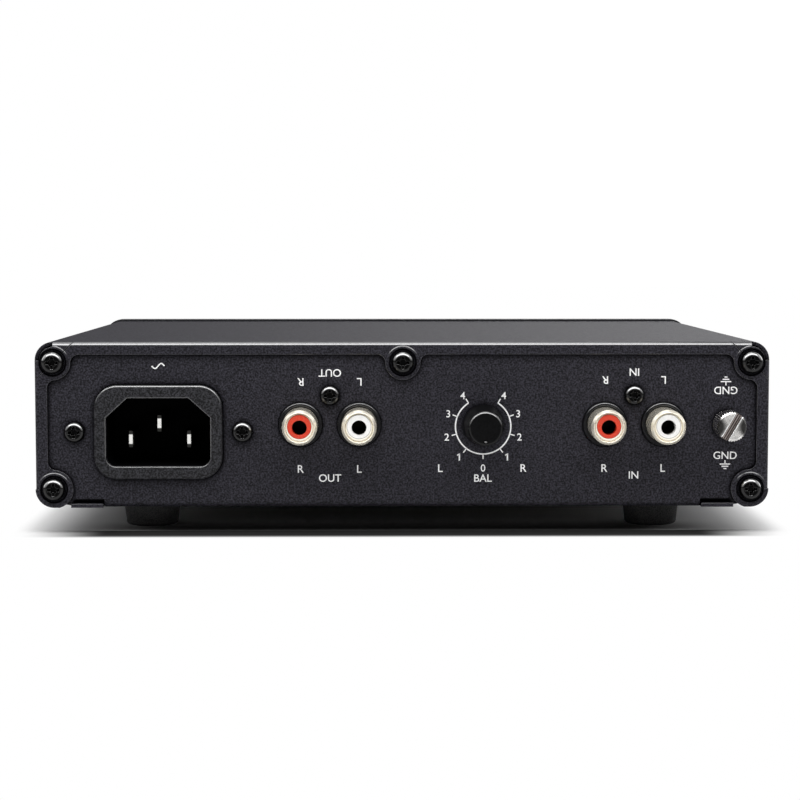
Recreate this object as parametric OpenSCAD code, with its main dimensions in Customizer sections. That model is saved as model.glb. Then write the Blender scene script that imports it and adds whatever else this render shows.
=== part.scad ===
// Small mains-powered phono preamplifier in a folded steel case.
// Millimetres. X runs across the case, +Z is up, the connector side faces -Y
// and the front fascia faces +Y. The rubber feet stand on z = 0, and the
// origin is the middle of the whole object's footprint.

/* [Case] */
// Width of the folded cover
case_w = 175.2; // [172:1:200]
// Height of the folded cover
case_h = 39.6; // [39:0.5:50]
// Depth of the folded cover
cover_d = 132.5; // [131:1:170]
// Thickness of the sheet steel
sheet = 0.9; // [0.8:0.1:1]
// Outside radius of the cover's long bends
bend_r = 4.4; // [4.2:0.1:5]
// Outside radius of the bends at the cover's rear edge
rear_bend = 1.2; // [1.1:0.1:1.4]
// Outside radius of the bends that lift the pan's rear and front walls
pan_bend = 1.5; // [1.2:0.1:2]
// Width of the lips that the cover turns in under the pan
lip_w = 16; // [12:1:20]
// Gap all round between the chassis and the cover that slides over it
sheet_gap = 0.25; // [0.15:0.05:0.4]
// Height of the stiffening rails along the pan
rail_h = 7; // [5:0.5:9]

/* [Rear flange] */
// Width of the flange that closes the cover's rear edge
flange_w = 3; // [2.6:0.1:3.4]
// Radius of the lobes round the upper cover screws
lobe_r = 4.2; // [4:0.1:4.6]
// Radius of the lobes round the lower cover screws
low_lobe_r = 4.6; // [4.4:0.1:5]
// Radius of the hollow corners between flange and lobe
lobe_fillet = 2; // [1:0.1:2.4]
// Rim radius of the dimples under the screw heads
dimple_r = 3.4; // [3.2:0.1:3.6]
// Depth of the dimples
dimple_depth = 0.4; // [0.2:0.1:0.5]
// Width of the mitre seams at the upper corners
seam_w = 0.15; // [0.1:0.05:0.4]
// Distance of the cover screws from the sides
screw_side = 4.4; // [4.2:0.1:5]
// Distance of the upper cover screws from the top
screw_top = 4.9; // [4.6:0.1:5.4]
// Height of the lower cover screws
screw_low = 4.4; // [4.2:0.1:5]
// Height of the relief slots above the chassis wings
relief_h = 0.1; // [0.1:0.05:0.6]
// Width of the notches between the lower lobes and the lips
notch_w = 2.7; // [1.5:0.1:3]

/* [Fascia] */
// Thickness of the front fascia
fascia_t = 5; // [5:0.5:8]
// How far the fascia stands proud of the cover all round
fascia_proud = 0.6; // [0.3:0.1:1]
// Radius of the fascia's front edge
fascia_edge = 0.9; // [0.4:0.1:1.5]
// Diameter of the power button
button_d = 9; // [8:0.5:11]
// How far the power button stands out when released
button_out = 2.6; // [2.4:0.1:4]
// Travel of the power button
button_travel = 2.2; // [1.5:0.1:2.3]
// Diameter of the status light
lens_d = 3; // [2:0.5:4]
// Distance from the power button to the status light
lens_gap = 16; // [14:1:20]

/* [Mains inlet] */
// Distance from the inlet's middle to the cover's side
inlet_side = 29.35; // [29:0.5:34]
// Height of the inlet's middle above the case bottom
inlet_z = 18.1; // [17.5:0.1:19]
// Width of the inlet's collar
collar_w = 30.5; // [30:0.1:31.5]
// Height of the inlet's collar
collar_h = 22.5; // [22:0.1:23.5]
// Corner radius of the collar
collar_r = 5.5; // [4.5:0.1:6.5]
// How far the collar stands out of the rear panel
collar_out = 1.7; // [1:0.1:3]
// Width of the plug recess
recess_w = 24.9; // [24.6:0.1:25.2]
// Height of the plug recess
recess_h = 16.4; // [16.2:0.1:16.8]
// Depth of the plug recess
recess_d = 16.8; // [16:0.2:18]
// Distance between the inlet's two screws
inlet_pitch = 40; // [39.5:0.5:40.5]

/* [Phono jacks] */
// Distance from the inlet's middle to the output pair's middle
output_gap = 40.85; // [40.5:0.05:42]
// Distance from the input pair's middle to the cover's side
input_side = 32.3; // [31.5:0.1:33.5]
// Distance between the two jacks of a pair
jack_pitch = 14; // [13.6:0.1:14.4]
// Outside diameter of the jack shells
shell_d = 8.3; // [8:0.1:8.6]
// How far the shells stand out of the rear panel
shell_out = 9.4; // [8:0.1:11]
// Diameter of the insulators
insulator_d = 6.4; // [6:0.1:6.8]
// Diameter of the hole for the plug's pin
pin_hole_d = 3.5; // [3.4:0.1:3.8]
// Diameter of the collars round the shells
nose_d = 10.4; // [9.8:0.1:11]
// How far the collars stand out of the rear panel
nose_out = 0.8; // [0.4:0.1:1.5]
// Height of a pair's screw above the jack axes
jack_screw_up = 7; // [6.5:0.1:7.4]

/* [Balance control] */
// Position of the balance control, from the case's middle
balance_x = 19.2; // [18:0.2:21]
// Diameter of the knob at the panel
knob_d = 9.6; // [9:0.1:11]
// Diameter of the knob at its tip
knob_tip_d = 8.1; // [7.6:0.1:8.8]
// Length of the knob
knob_l = 11; // [10:0.5:14]
// Gap between knob and panel
knob_gap = 0.6; // [0.4:0.1:1]
// Diameter of the control's shaft
shaft_d = 6; // [5:0.5:6]

/* [Ground terminal] */
// Distance from the ground screw to the cover's side
ground_side = 10.1; // [9.8:0.1:10.5]
// Diameter of the knurled head
ground_head_d = 7.2; // [6.8:0.1:8]
// Length of the knurled head
ground_head_l = 7.1; // [6:0.1:8]
// Number of ridges on the knurl
knurl_count = 36; // [24:1:40]
// Depth of the knurl
knurl_depth = 0.3; // [0.15:0.05:0.4]
// Width of the screwdriver slot
slot_w = 1.6; // [1:0.1:2]
// Diameter of the ground screw's thread
ground_thread_d = 4; // [3:0.5:4]
// Thickness of the clamping washer
washer_t = 0.8; // [0.5:0.1:1]

/* [Board and feet] */
// Height of the jack axes above the board
jack_lift = 10.5; // [10:0.1:11]
// Thickness of the circuit board
board_t = 1.6; // [1:0.2:2]
// Gap between the board and the cover's side walls
board_side = 6.7; // [6:0.1:7.4]
// Height of the rubber feet
foot_h = 6.4; // [5:0.2:9]
// Diameter of the rubber feet
foot_d = 14; // [12:0.5:14]
// Distance of the feet from the case's sides
foot_side = 25.6; // [25:0.2:40]
// Distance of the feet from the cover's rear and front edges
foot_edge = 20; // [12:1:30]
// Number of vent slots in each group
vent_count = 9; // [5:1:9]

/* [Hidden] */
$fn = 64;

// Fits and small common sizes
fit_gap = 0.03;                 // between pieces that are pressed or moulded together
turn_gap = 0.05;                // round a shaft that turns in its bush
panel_gap = 0.15;               // round what passes through a panel
eps = 0.01;                     // overlap that joins solids of one piece
half_w = case_w / 2;
panel_y = 2 * sheet;            // inner face of the rear panel, from the cover's rear plane
panel_face = sheet;             // outer face of the rear panel
jack_z = case_h / 2;
inlet_x = -(half_w - inlet_side);
output_x = inlet_x + output_gap;
input_x = half_w - input_side;
ground_x = half_w - ground_side;
button_x = inlet_x;
lens_x = button_x + lens_gap;
knob_reach = knob_gap + knob_l - panel_face;
shell_reach = shell_out - panel_face;
ground_reach = ground_head_l + washer_t - panel_face;
rear_reach = max(knob_reach, shell_reach, ground_reach);
front_y = cover_d + fascia_t;
rear_y = (rear_reach - front_y - button_out) / 2;

// Chassis
inset = max(sheet + sheet_gap, rear_bend);
pan_half = half_w - lip_w - sheet_gap;
wing_z = sheet + 0.05;
wing_top = wing_z + sheet;
wing_half = half_w - bend_r;
wing_back = pan_bend + 1.5;     // from a wall's outer face to the wings' ends
corner_w = screw_side + 1.3;    // the lower corners, closed behind their lobes
lip_start = corner_w + notch_w;
rail_y = 9;                     // where the rails start, clear of the cover screws
front_wall_y = cover_d - sheet;

// Board
board_top = jack_z - jack_lift;
board_z = board_top - board_t;
board_half = half_w - sheet - board_side;
board_y0 = 3.4;
board_y1 = cover_d - 9;
notch_x = inlet_x + 26;         // the board is cut away behind the inlet
notch_y = 31;
post_x = board_half - 4;
post_rear = notch_y + 7;
post_front = board_y1 - 7.5;
posts = [
  [-post_x, post_rear, wing_top], [0, post_rear, sheet], [post_x, 20, wing_top],
  [-post_x, post_front, wing_top], [0, post_front, sheet], [post_x, post_front, wing_top],
];

// Screws: thread radii and heads
m3_r = 1.45;
m3_tap = 1.5;
m3_clear = 1.7;
cover_head_d = 5.2;
inlet_head_d = 4.9;
jack_head_d = 4.7;
screw_x = half_w - screw_side;
screw_z = case_h - screw_top;
cover_points = [[-screw_x, screw_z], [0, screw_z], [screw_x, screw_z],
                [-screw_x, screw_low], [screw_x, screw_low]];
jack_pairs = [output_x, input_x];
foot_x = half_w - foot_side;
foot_points = [for (x = [-foot_x, foot_x], y = [foot_edge, cover_d - foot_edge]) [x, y]];
foot_seat = foot_h - 2.9;       // depth of the screw's seat inside a foot
fascia_screw_x = half_w - 18;
fascia_screw_z = 9;
fascia_screw_points = [for (x = [-fascia_screw_x, fascia_screw_x],
                            z = [fascia_screw_z, case_h - fascia_screw_z]) [x, z]];

steel_black = [0.14, 0.14, 0.15];
moulded_black = [0.06, 0.06, 0.065];
gold = [0.92, 0.8, 0.55];
nickel = [0.75, 0.75, 0.74];
tin = [0.8, 0.8, 0.8];

// ---- Helpers --------------------------------------------------------------

// Case frame: X across, Y inwards from the cover's rear plane, Z from the case bottom
module in_case() translate([0, rear_y, foot_h]) children();

// Upright outline, seen from the rear, made solid from y to y + t
module upright(y, t) translate([0, y + t, 0]) rotate([90, 0, 0]) linear_extrude(t) children();

// Turns a part modelled along +Z so that it points into the case, or out of its rear
module inwards(x, y, z) translate([x, y, z]) rotate([-90, 0, 0]) children();
module outwards(x, y, z) translate([x, y, z]) rotate([90, 0, 0]) children();

module rounded(w, h, r) {
  square([w - 2 * r, h], center = true);
  square([w, h - 2 * r], center = true);
  for (x = [-1, 1], y = [-1, 1]) translate([x * (w / 2 - r), y * (h / 2 - r)]) circle(r);
}

// The case's outline, drawn in by a margin all round
module case_outline(margin)
  translate([0, case_h / 2]) rounded(case_w - 2 * margin, case_h - 2 * margin, bend_r - margin);

// Slab profile, w wide and t thick, whose outer edges at the far face are rounded
module slab_profile(w, t, edge) {
  translate([-w / 2, 0]) square([w, t - edge]);
  translate([-w / 2 + edge, 0]) square([w - 2 * edge, t]);
  for (s = [-1, 1]) translate([s * (w / 2 - edge), t - edge]) circle(edge);
}

// Half of the same profile, for turning
module puck_profile(r, t, edge) {
  square([r, t - edge]);
  square([r - edge, t]);
  translate([r - edge, t - edge]) intersection() { circle(edge); square(edge); }
}

// Plate w by h with corner radius r, standing out of z = 0 with a rounded far edge
module soft_plate(w, h, r, t, edge) {
  for (x = [-1, 1], y = [-1, 1]) translate([x * (w / 2 - r), y * (h / 2 - r), 0])
    rotate_extrude() puck_profile(r, t, edge);
  rotate([90, 0, 0]) linear_extrude(h - 2 * r, center = true) slab_profile(w, t, edge);
  rotate([90, 0, 90]) linear_extrude(w - 2 * r, center = true) slab_profile(h, t, edge);
}

module ring(r_out, r_in, h) difference() {
  cylinder(r = r_out, h = h);
  translate([0, 0, -1]) cylinder(r = r_in, h = h + 2);
}

// Cross recess from z = 0 down, whose arms slope in towards the middle
module cross_recess(span, arm, depth) {
  slope = (span / 2 - arm) / depth;
  intersection() {
    for (a = [0, 90]) rotate(a) translate([-span, -arm / 2, -depth]) cube([2 * span, arm, depth + 1]);
    translate([0, 0, -depth - 1]) cylinder(r1 = max(arm - slope, 0.1), r2 = span / 2 + slope, h = depth + 2);
  }
  translate([0, 0, -depth]) cylinder(r1 = arm * 0.6, r2 = arm * 1.15, h = depth + eps);
}

// Pan-head cross-recess screw; the head's seat is z = 0 and its thread points down
module pan_screw(head_d, head_h, thread_r, length) {
  difference() {
    rotate_extrude() puck_profile(head_d / 2, head_h, head_h * 0.62);
    translate([0, 0, head_h]) cross_recess(head_d * 0.6, 0.75, min(1.3, head_h * 0.8));
  }
  translate([0, 0, -length]) cylinder(r = thread_r, h = length + eps);
}

// A stiff wire through a list of points, round at its bends
module wire(path, r) {
  for (i = [1 : len(path) - 1]) {
    run = path[i] - path[i - 1];
    translate(path[i - 1]) rotate([0, acos(run[2] / norm(run)), atan2(run[1], run[0])])
      cylinder(r = r, h = norm(run));
  }
  for (i = [1 : len(path) - 2]) translate(path[i]) sphere(r = r * 1.04);
}

// ---- Case -----------------------------------------------------------------

// Hollow corner between a lobe round c and the edge z = edge_z above it, on the
// side that s gives. Its round bites a hair into both, so that it meets them cleanly.
module lobe_corner(c, r, edge_z, s) {
  f = lobe_fillet;
  bite = 0.02;
  hollow_z = edge_z - f + bite;
  run = sqrt(pow(r + f - bite, 2) - pow(c[1] - hollow_z, 2));
  hollow = [c[0] + s * run, hollow_z];
  inside_z = edge_z + flange_w / 2;
  difference() {
    polygon([[hollow[0], inside_z], hollow, c, [c[0], inside_z]]);
    translate(hollow) circle(f);
  }
}

// Swaps the two axes of an outline
module swapped() mirror([1, -1, 0]) children();

module flange_outline() {
  top_edge = case_h - flange_w;
  side_edge = half_w - flange_w;
  translate([-half_w, top_edge]) square([case_w, flange_w]);
  translate([0, screw_z]) circle(lobe_r);
  for (s = [-1, 1]) lobe_corner([0, screw_z], lobe_r, top_edge, s);
  for (m = [0, 1]) mirror([m, 0, 0]) {
    translate([side_edge, screw_low]) square([flange_w, case_h - screw_low]);
    translate([screw_x, screw_z]) circle(lobe_r);
    translate([screw_x, screw_low]) circle(low_lobe_r);
    lobe_corner([screw_x, screw_z], lobe_r, top_edge, -1);
    swapped() {
      lobe_corner([screw_z, screw_x], lobe_r, side_edge, -1);
      lobe_corner([screw_low, screw_x], low_lobe_r, side_edge, 1);
    }
  }
}

// The two lower corners, w wide, where the flange runs out to the cover's full outline
module low_corners(w)
  for (m = [0, 1]) mirror([m, 0, 0])
    translate([half_w - w, -1]) square([w + 1, bend_r + 1]);

// The lips from the notches inwards
module lip_ends()
  for (m = [0, 1]) mirror([m, 0, 0])
    translate([half_w - lip_w - 1, -1]) square([lip_w + 1 - lip_start, sheet + 1.5]);

// The clipped corner of a lip beside its lower lobe, seen from above
module lip_notch() linear_extrude(sheet + 2) polygon([
  [half_w - lip_start, rear_bend - 0.2], [half_w - corner_w, rear_bend - 0.2],
  [half_w - corner_w, rear_bend + 2 * notch_w], [half_w - lip_start, rear_bend + notch_w]]);

module cover_profile() difference() {
  case_outline(0);
  case_outline(sheet);
  translate([-half_w + lip_w, -1]) square([case_w - 2 * lip_w, sheet + 2]);
}

// A quarter-round bend whose ends lap the sheets that it joins by a hair
module bend_profile(r) {
  intersection() {
    difference() { circle(r); circle(r - sheet); }
    translate([-r, 0]) square(r);
  }
  translate([0, r - sheet]) square([eps, sheet]);
  translate([-r, -eps]) square([sheet, eps]);
}

// A bend of a given length, at the origin's edge, turning from -Y to +Z
module edge_bend(length) rotate([90, 0, 90]) linear_extrude(length, center = true)
  bend_profile(rear_bend);

module cover() color(steel_black) in_case() difference() {
  union() {
    upright(rear_bend, cover_d - rear_bend) cover_profile();
    upright(0, rear_bend + eps) intersection() {
      cover_profile();
      union() { low_corners(corner_w); lip_ends(); }
    }
    upright(0, sheet) intersection() {
      flange_outline();
      union() {
        case_outline(rear_bend);
        intersection() { case_outline(0); low_corners(2 * low_lobe_r); }
      }
    }
    translate([0, rear_bend, case_h - rear_bend]) edge_bend(case_w - 2 * bend_r);
    for (m = [0, 1]) mirror([m, 0, 0])
      translate([half_w - rear_bend, rear_bend, case_h / 2]) rotate([0, 90, 0])
        edge_bend(case_h - 2 * bend_r);
  }
  for (p = cover_points) inwards(p[0], -1, p[1]) {
    cylinder(r = m3_clear, h = sheet + 2);
    translate([0, 0, 1 - eps]) cylinder(r1 = dimple_r, r2 = dimple_r - dimple_depth, h = dimple_depth + eps);
  }
  for (m = [0, 1]) mirror([m, 0, 0]) translate([screw_x, 0, screw_z]) rotate([0, 45, 0])
    translate([-2 * lobe_r, -1, -seam_w / 2]) cube([4 * lobe_r, sheet + 1 + eps, seam_w]);
  for (m = [0, 1]) mirror([m, 0, 0]) translate([0, 0, -1]) lip_notch();
}

module rear_panel_cuts() {
  translate([inlet_x, inlet_z]) rounded(collar_w + 2 * panel_gap, collar_h + 2 * panel_gap,
                                        collar_r + panel_gap);
  for (s = [-1, 1]) translate([inlet_x + s * inlet_pitch / 2, inlet_z]) circle(m3_clear);
  for (x = jack_pairs) {
    for (s = [-1, 1]) translate([x + s * jack_pitch / 2, jack_z]) circle(nose_d / 2 + panel_gap);
    translate([x, jack_z + jack_screw_up]) circle(m3_clear);
  }
  translate([balance_x, jack_z]) circle(shaft_d / 2 + 0.7);
  translate([ground_x, jack_z]) circle(ground_thread_d / 2 + 1);
  for (p = cover_points) translate(p) circle(m3_tap);
}

module front_wall_cuts() {
  translate([button_x, jack_z]) circle(button_rod_r + 0.6);
  translate([lens_x, jack_z]) circle(lens_d / 2 + 0.5);
  for (p = fascia_screw_points) translate(p) circle(m3_clear);
}

// One wall of the chassis, drawn from its full outline down to the relief slots
module wall_outline() difference() {
  case_outline(inset);
  translate([-half_w, -1]) square([case_w, 1 + max(inset, pan_bend)]);
  for (m = [0, 1]) mirror([m, 0, 0])
    translate([pan_half, -1]) square([half_w, 1 + wing_top + relief_h]);
}

module vent_slot(w, l) {
  square([w, l - w], center = true);
  for (s = [-1, 1]) translate([0, s * (l - w) / 2]) circle(w / 2);
}

// The bend that joins the pan to a wall; its centre is the origin
module pan_bend_strip() rotate([90, 0, 90]) linear_extrude(2 * pan_half, center = true)
  mirror([0, 1]) bend_profile(pan_bend);

module chassis() color(steel_black * 1.15) in_case() {
  difference() {
    upright(panel_face, sheet) wall_outline();
    upright(0, 3 * sheet) rear_panel_cuts();
  }
  difference() {
    upright(front_wall_y, sheet) wall_outline();
    upright(front_wall_y - sheet, 3 * sheet) front_wall_cuts();
  }
  translate([0, panel_face + pan_bend, pan_bend]) pan_bend_strip();
  translate([0, cover_d - pan_bend, pan_bend]) mirror([0, 1, 0]) pan_bend_strip();
  difference() {
    translate([-pan_half, panel_face + pan_bend, 0])
      cube([2 * pan_half, cover_d - panel_face - 2 * pan_bend, sheet]);
    for (p = foot_points) translate([p[0], p[1], -1]) cylinder(r = m3_tap, h = sheet + 2);
    for (x = [-1, 1], i = [0 : vent_count - 1])
      translate([x * 34 + (i - (vent_count - 1) / 2) * 5, cover_d * 0.5, -1])
        linear_extrude(sheet + 2) vent_slot(2.2, 30);
  }
  for (m = [0, 1]) mirror([m, 0, 0]) {
    translate([pan_half - sheet, panel_face + pan_bend, 0])
      cube([sheet, cover_d - panel_face - 2 * pan_bend, wing_top]);
    translate([pan_half - sheet, panel_face + wing_back, wing_z])
      cube([wing_half - pan_half + sheet, cover_d - panel_face - 2 * wing_back, sheet]);
    translate([wing_half - sheet, rail_y, wing_z])
      cube([sheet, cover_d - 2 * rail_y, rail_h]);
  }
}

module cover_screws() color("black") in_case()
  for (p = cover_points) outwards(p[0], dimple_depth, p[1]) pan_screw(cover_head_d, 1.9, m3_r, 6);

// Each foot is drawn downwards from the pan
module at_feet() for (p = foot_points) translate([p[0], p[1], 0]) mirror([0, 0, 1]) children();

module rubber_feet() color([0.05, 0.05, 0.05]) in_case() at_feet() difference() {
  r = foot_d / 2;
  tip_r = r - 0.6;
  edge = 0.8;
  rotate_extrude() {
    polygon([[0, 0], [r, 0], [tip_r, foot_h - edge], [0, foot_h - edge]]);
    puck_profile(tip_r, foot_h, edge);
  }
  translate([0, 0, -1]) cylinder(r = m3_clear, h = foot_h + 2);
  translate([0, 0, foot_seat]) cylinder(r = 3.4, h = foot_h);
}

module foot_screws() color("black") in_case() at_feet()
  translate([0, 0, foot_seat]) pan_screw(cover_head_d, 1.9, m3_r, foot_seat + sheet + 1.6);

// ---- Front ----------------------------------------------------------------

button_rod_r = 2.5;
button_collar_r = button_d / 2 + 1;
button_pocket = fascia_t - 1.4;
button_back = button_travel + 0.15;  // back of the released button, from the front wall
button_collar_t = button_pocket - turn_gap - button_back;
light_flange_r = lens_d / 2 + 0.9;
light_flange_t = 1.5;

module front_fascia() color([0.2, 0.2, 0.21]) in_case() difference() {
  translate([0, cover_d, case_h / 2]) rotate([-90, 0, 0])
    soft_plate(case_w + 2 * fascia_proud, case_h + 2 * fascia_proud, bend_r + fascia_proud,
               fascia_t, fascia_edge);
  inwards(button_x, cover_d - 1, jack_z) {
    cylinder(r = button_d / 2 + 0.3, h = fascia_t + 2);
    cylinder(r = button_collar_r + 0.3, h = 1 + button_pocket);
  }
  inwards(lens_x, cover_d - 1, jack_z) {
    cylinder(r = lens_d / 2 + fit_gap, h = fascia_t + 2);
    cylinder(r = light_flange_r + fit_gap, h = 1 + light_flange_t);
  }
  for (p = fascia_screw_points) inwards(p[0], cover_d - 1, p[1]) cylinder(r = m3_tap, h = 4.2);
}

module fascia_screws() color("dimgray") in_case()
  for (p = fascia_screw_points) outwards(p[0], front_wall_y, p[1]) pan_screw(cover_head_d, 1.9, m3_r, 3.9);

module power_button() color(moulded_black) in_case()
  inwards(button_x, cover_d + button_back, jack_z) {
    rotate_extrude() puck_profile(button_d / 2, fascia_t + button_out - button_back, 0.8);
    cylinder(r = button_collar_r, h = button_collar_t);
  }

switch_d = 26;
switch_gap = 4;
switch_front = front_wall_y - switch_gap - 2;
rod_in = 9;

module button_rod() color("ivory") in_case()
  inwards(button_x, switch_front - rod_in, jack_z)
    cylinder(r = button_rod_r, h = cover_d + button_back - switch_front + rod_in);

module power_switch() color([0.15, 0.15, 0.17]) in_case() difference() {
  union() {
    translate([button_x - 7.5, switch_front - switch_d, board_top])
      cube([15, switch_d, jack_z - board_top + 7]);
    translate([button_x - 9, switch_front - switch_d + 3, board_top])
      cube([18, switch_d - 6, 4]);
  }
  inwards(button_x, switch_front - rod_in - button_travel - 1, jack_z)
    cylinder(r = button_rod_r + turn_gap, h = switch_d);
}

module light_pipe() color([0.85, 0.9, 1, 0.6]) in_case() {
  inwards(lens_x, switch_front + 1, jack_z) cylinder(r = lens_d / 2, h = front_y - switch_front - 1);
  inwards(lens_x, cover_d, jack_z) cylinder(r = light_flange_r, h = light_flange_t);
}

module status_led() color("white") in_case() inwards(lens_x, switch_front - 5, jack_z) {
  cylinder(r = 1.9, h = 1);
  cylinder(r = 1.5, h = 4.5);
  translate([0, 0, 4.5]) sphere(r = 1.5);
}

module led_holder() color(moulded_black) in_case() difference() {
  translate([lens_x - 2.5, switch_front - 10, board_top]) cube([5, 6, jack_z - board_top + 2.5]);
  inwards(lens_x, switch_front - 5 - fit_gap, jack_z) cylinder(r = 1.9 + fit_gap, h = 4);
}

// ---- Mains inlet ----------------------------------------------------------

ear_t = 2.5;
inlet_floor = recess_d - collar_out + panel_face;
pin_pitch = 14;
live_z = inlet_z - 2;
earth_z = inlet_z + 1.9;
blade_w = 2;
blade_h = 4;
pin_tip = 3.6;
tab_end = inlet_floor + 11;

// The three-pin recess: two corners cut off at the top, two rounded at the bottom
module recess_outline(grow = 0) {
  w = recess_w / 2 + grow;
  h = recess_h / 2 + grow;
  cut_x = 5.2;
  cut_z = 4.7;
  low_r = 2.4;
  polygon([[-w, h - cut_z], [-w + cut_x, h], [w - cut_x, h], [w, h - cut_z],
           [w, -h + low_r], [w - low_r, -h], [-w + low_r, -h], [-w, -h + low_r]]);
  for (s = [-1, 1]) translate([s * (w - low_r), -h + low_r]) circle(low_r);
}

module inlet_body() color(moulded_black) in_case() difference() {
  union() {
    outwards(inlet_x, panel_y, inlet_z)
      soft_plate(collar_w, collar_h, collar_r, sheet + collar_out, 0.6);
    upright(panel_y, ear_t) translate([inlet_x, inlet_z]) {
      rounded(35, 24.5, 6);
      rounded(inlet_pitch + 9, 9, 4.4);
    }
    upright(panel_y, inlet_floor + 2 - panel_y) translate([inlet_x, inlet_z]) rounded(28.4, 20, 4);
  }
  upright(-10, inlet_floor + 10) translate([inlet_x, inlet_z]) recess_outline();
  upright(inlet_floor - 1, 5) {
    for (s = [-1, 1]) translate([inlet_x + s * pin_pitch / 2, live_z])
      square([blade_w + 2 * fit_gap, blade_h + 2 * fit_gap], center = true);
    translate([inlet_x, earth_z]) square([blade_w + 2 * fit_gap, blade_h + 2 * fit_gap], center = true);
  }
  for (s = [-1, 1]) inwards(inlet_x + s * inlet_pitch / 2, 0, inlet_z) cylinder(r = m3_clear, h = 9);
}

// A blade with a bevelled tip and a soldering tab behind the inlet's floor
module blade(x, z, tip) translate([x, 0, z - blade_h / 2]) {
  bevel = 0.6;
  linear_extrude(blade_h)
    polygon([[-blade_w / 2, inlet_floor + 2.6], [-blade_w / 2, tip + bevel], [-blade_w / 2 + bevel, tip],
             [blade_w / 2 - bevel, tip], [blade_w / 2, tip + bevel], [blade_w / 2, inlet_floor + 2.6]]);
  translate([-0.4, inlet_floor + 2, -0.2]) cube([0.8, tab_end - inlet_floor - 2, blade_h + 0.4]);
}

module inlet_live_pins() color(tin) in_case()
  for (s = [-1, 1]) blade(inlet_x + s * pin_pitch / 2, live_z, pin_tip);

module inlet_earth_pin() color(tin) in_case() blade(inlet_x, earth_z, pin_tip - 1);

module inlet_screws() color("black") in_case() for (s = [-1, 1])
  outwards(inlet_x + s * inlet_pitch / 2, panel_face, inlet_z) pan_screw(inlet_head_d, 1.8, m3_r, 7.5);

module inlet_nuts() color(tin) in_case() for (s = [-1, 1])
  inwards(inlet_x + s * inlet_pitch / 2, panel_y + ear_t, inlet_z) difference() {
    cylinder(r = 3.1, h = 2.4, $fn = 6);
    translate([0, 0, -1]) cylinder(r = m3_tap, h = 5);
  }

// ---- Phono jacks ----------------------------------------------------------

block_r = jack_pitch / 2 - 0.2; // round of the block behind each jack
block_y1 = panel_y + 11;
shell_r = shell_d / 2;
shell_tip = panel_face - shell_out;
shell_end = panel_y + 4;
shell_root_r = shell_r + 0.3;   // the shell's thicker root, held in the block
shell_root_y = panel_face - nose_out + 0.05;
contact_r = pin_hole_d / 2;
contact_wall = 0.35;
contact_front = shell_tip + 3;
contact_floor = shell_end - 1.5;
insulator_inset = 0.35;         // of the insulator's face behind the shell's rim
tail_r = 0.6;
jack_thread_r = 1.2;

module jack_block(x) color(moulded_black) in_case() difference() {
  union() {
    translate([x - jack_pitch / 2 - block_r, panel_y, board_top])
      cube([jack_pitch + 2 * block_r, block_y1 - panel_y, jack_z - board_top]);
    translate([x - 3.6, panel_y, jack_z]) cube([7.2, block_y1 - panel_y, jack_screw_up + 3]);
    for (s = [-1, 1]) {
      inwards(x + s * jack_pitch / 2, panel_y, jack_z) cylinder(r = block_r, h = block_y1 - panel_y);
      outwards(x + s * jack_pitch / 2, panel_y + eps, jack_z)
        rotate_extrude() puck_profile(nose_d / 2, sheet + nose_out + eps, 0.3);
    }
  }
  for (s = [-1, 1]) translate([x + s * jack_pitch / 2, 0, 0]) {
    inwards(0, shell_tip, jack_z) cylinder(r = shell_r + fit_gap, h = shell_end - shell_tip);
    inwards(0, shell_root_y - fit_gap, jack_z)
      cylinder(r = shell_root_r + fit_gap, h = shell_end - shell_root_y + fit_gap);
    inwards(0, 0, jack_z) cylinder(r = tail_r + turn_gap, h = block_y1 + 1);
  }
  inwards(x, 0, jack_z + jack_screw_up) cylinder(r = jack_thread_r + turn_gap, h = panel_y + 8);
}

module output_jack_block() jack_block(output_x);
module input_jack_block() jack_block(input_x);

// Metal shell with a bevelled rim
module jack_shell(x) color(gold) in_case() inwards(x, shell_tip, jack_z)
  rotate_extrude() polygon([
    [insulator_d / 2 + fit_gap, 0.5], [insulator_d / 2 + 0.3, 0], [max(shell_r - 0.6, insulator_d / 2 + 0.35), 0], [shell_r, 0.8],
    [shell_r, shell_root_y - shell_tip], [shell_root_r, shell_root_y - shell_tip],
    [shell_root_r, shell_end - shell_tip], [insulator_d / 2 + fit_gap, shell_end - shell_tip]]);

module jack_insulator(x, tint) color(tint) in_case() difference() {
  outwards(x, shell_end, jack_z)
    rotate_extrude() puck_profile(insulator_d / 2, shell_end - shell_tip - insulator_inset, 0.25);
  inwards(x, shell_tip - 1, jack_z) cylinder(r = pin_hole_d / 2, h = shell_end - shell_tip + 2);
  inwards(x, contact_front, jack_z)
    cylinder(r = contact_r + contact_wall + fit_gap, h = shell_end - contact_front + 1);
}

// Sprung centre contact, a tube with a soldering tail
module jack_contact(x) color(gold) in_case() {
  inwards(x, contact_front, jack_z) difference() {
    cylinder(r = contact_r + contact_wall, h = shell_end - contact_front);
    translate([0, 0, -1]) cylinder(r = contact_r, h = contact_floor - contact_front + 1);
  }
  inwards(x, shell_end - eps, jack_z) cylinder(r = tail_r, h = block_y1 - shell_end + 1.5);
}

half_pitch = jack_pitch / 2;
module output_right_shell() jack_shell(output_x - half_pitch);
module output_left_shell() jack_shell(output_x + half_pitch);
module input_right_shell() jack_shell(input_x - half_pitch);
module input_left_shell() jack_shell(input_x + half_pitch);
module output_right_insulator() jack_insulator(output_x - half_pitch, "tomato");
module output_left_insulator() jack_insulator(output_x + half_pitch, "white");
module input_right_insulator() jack_insulator(input_x - half_pitch, "tomato");
module input_left_insulator() jack_insulator(input_x + half_pitch, "white");
module jack_contacts() for (x = jack_pairs, s = [-1, 1]) jack_contact(x + s * half_pitch);

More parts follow.
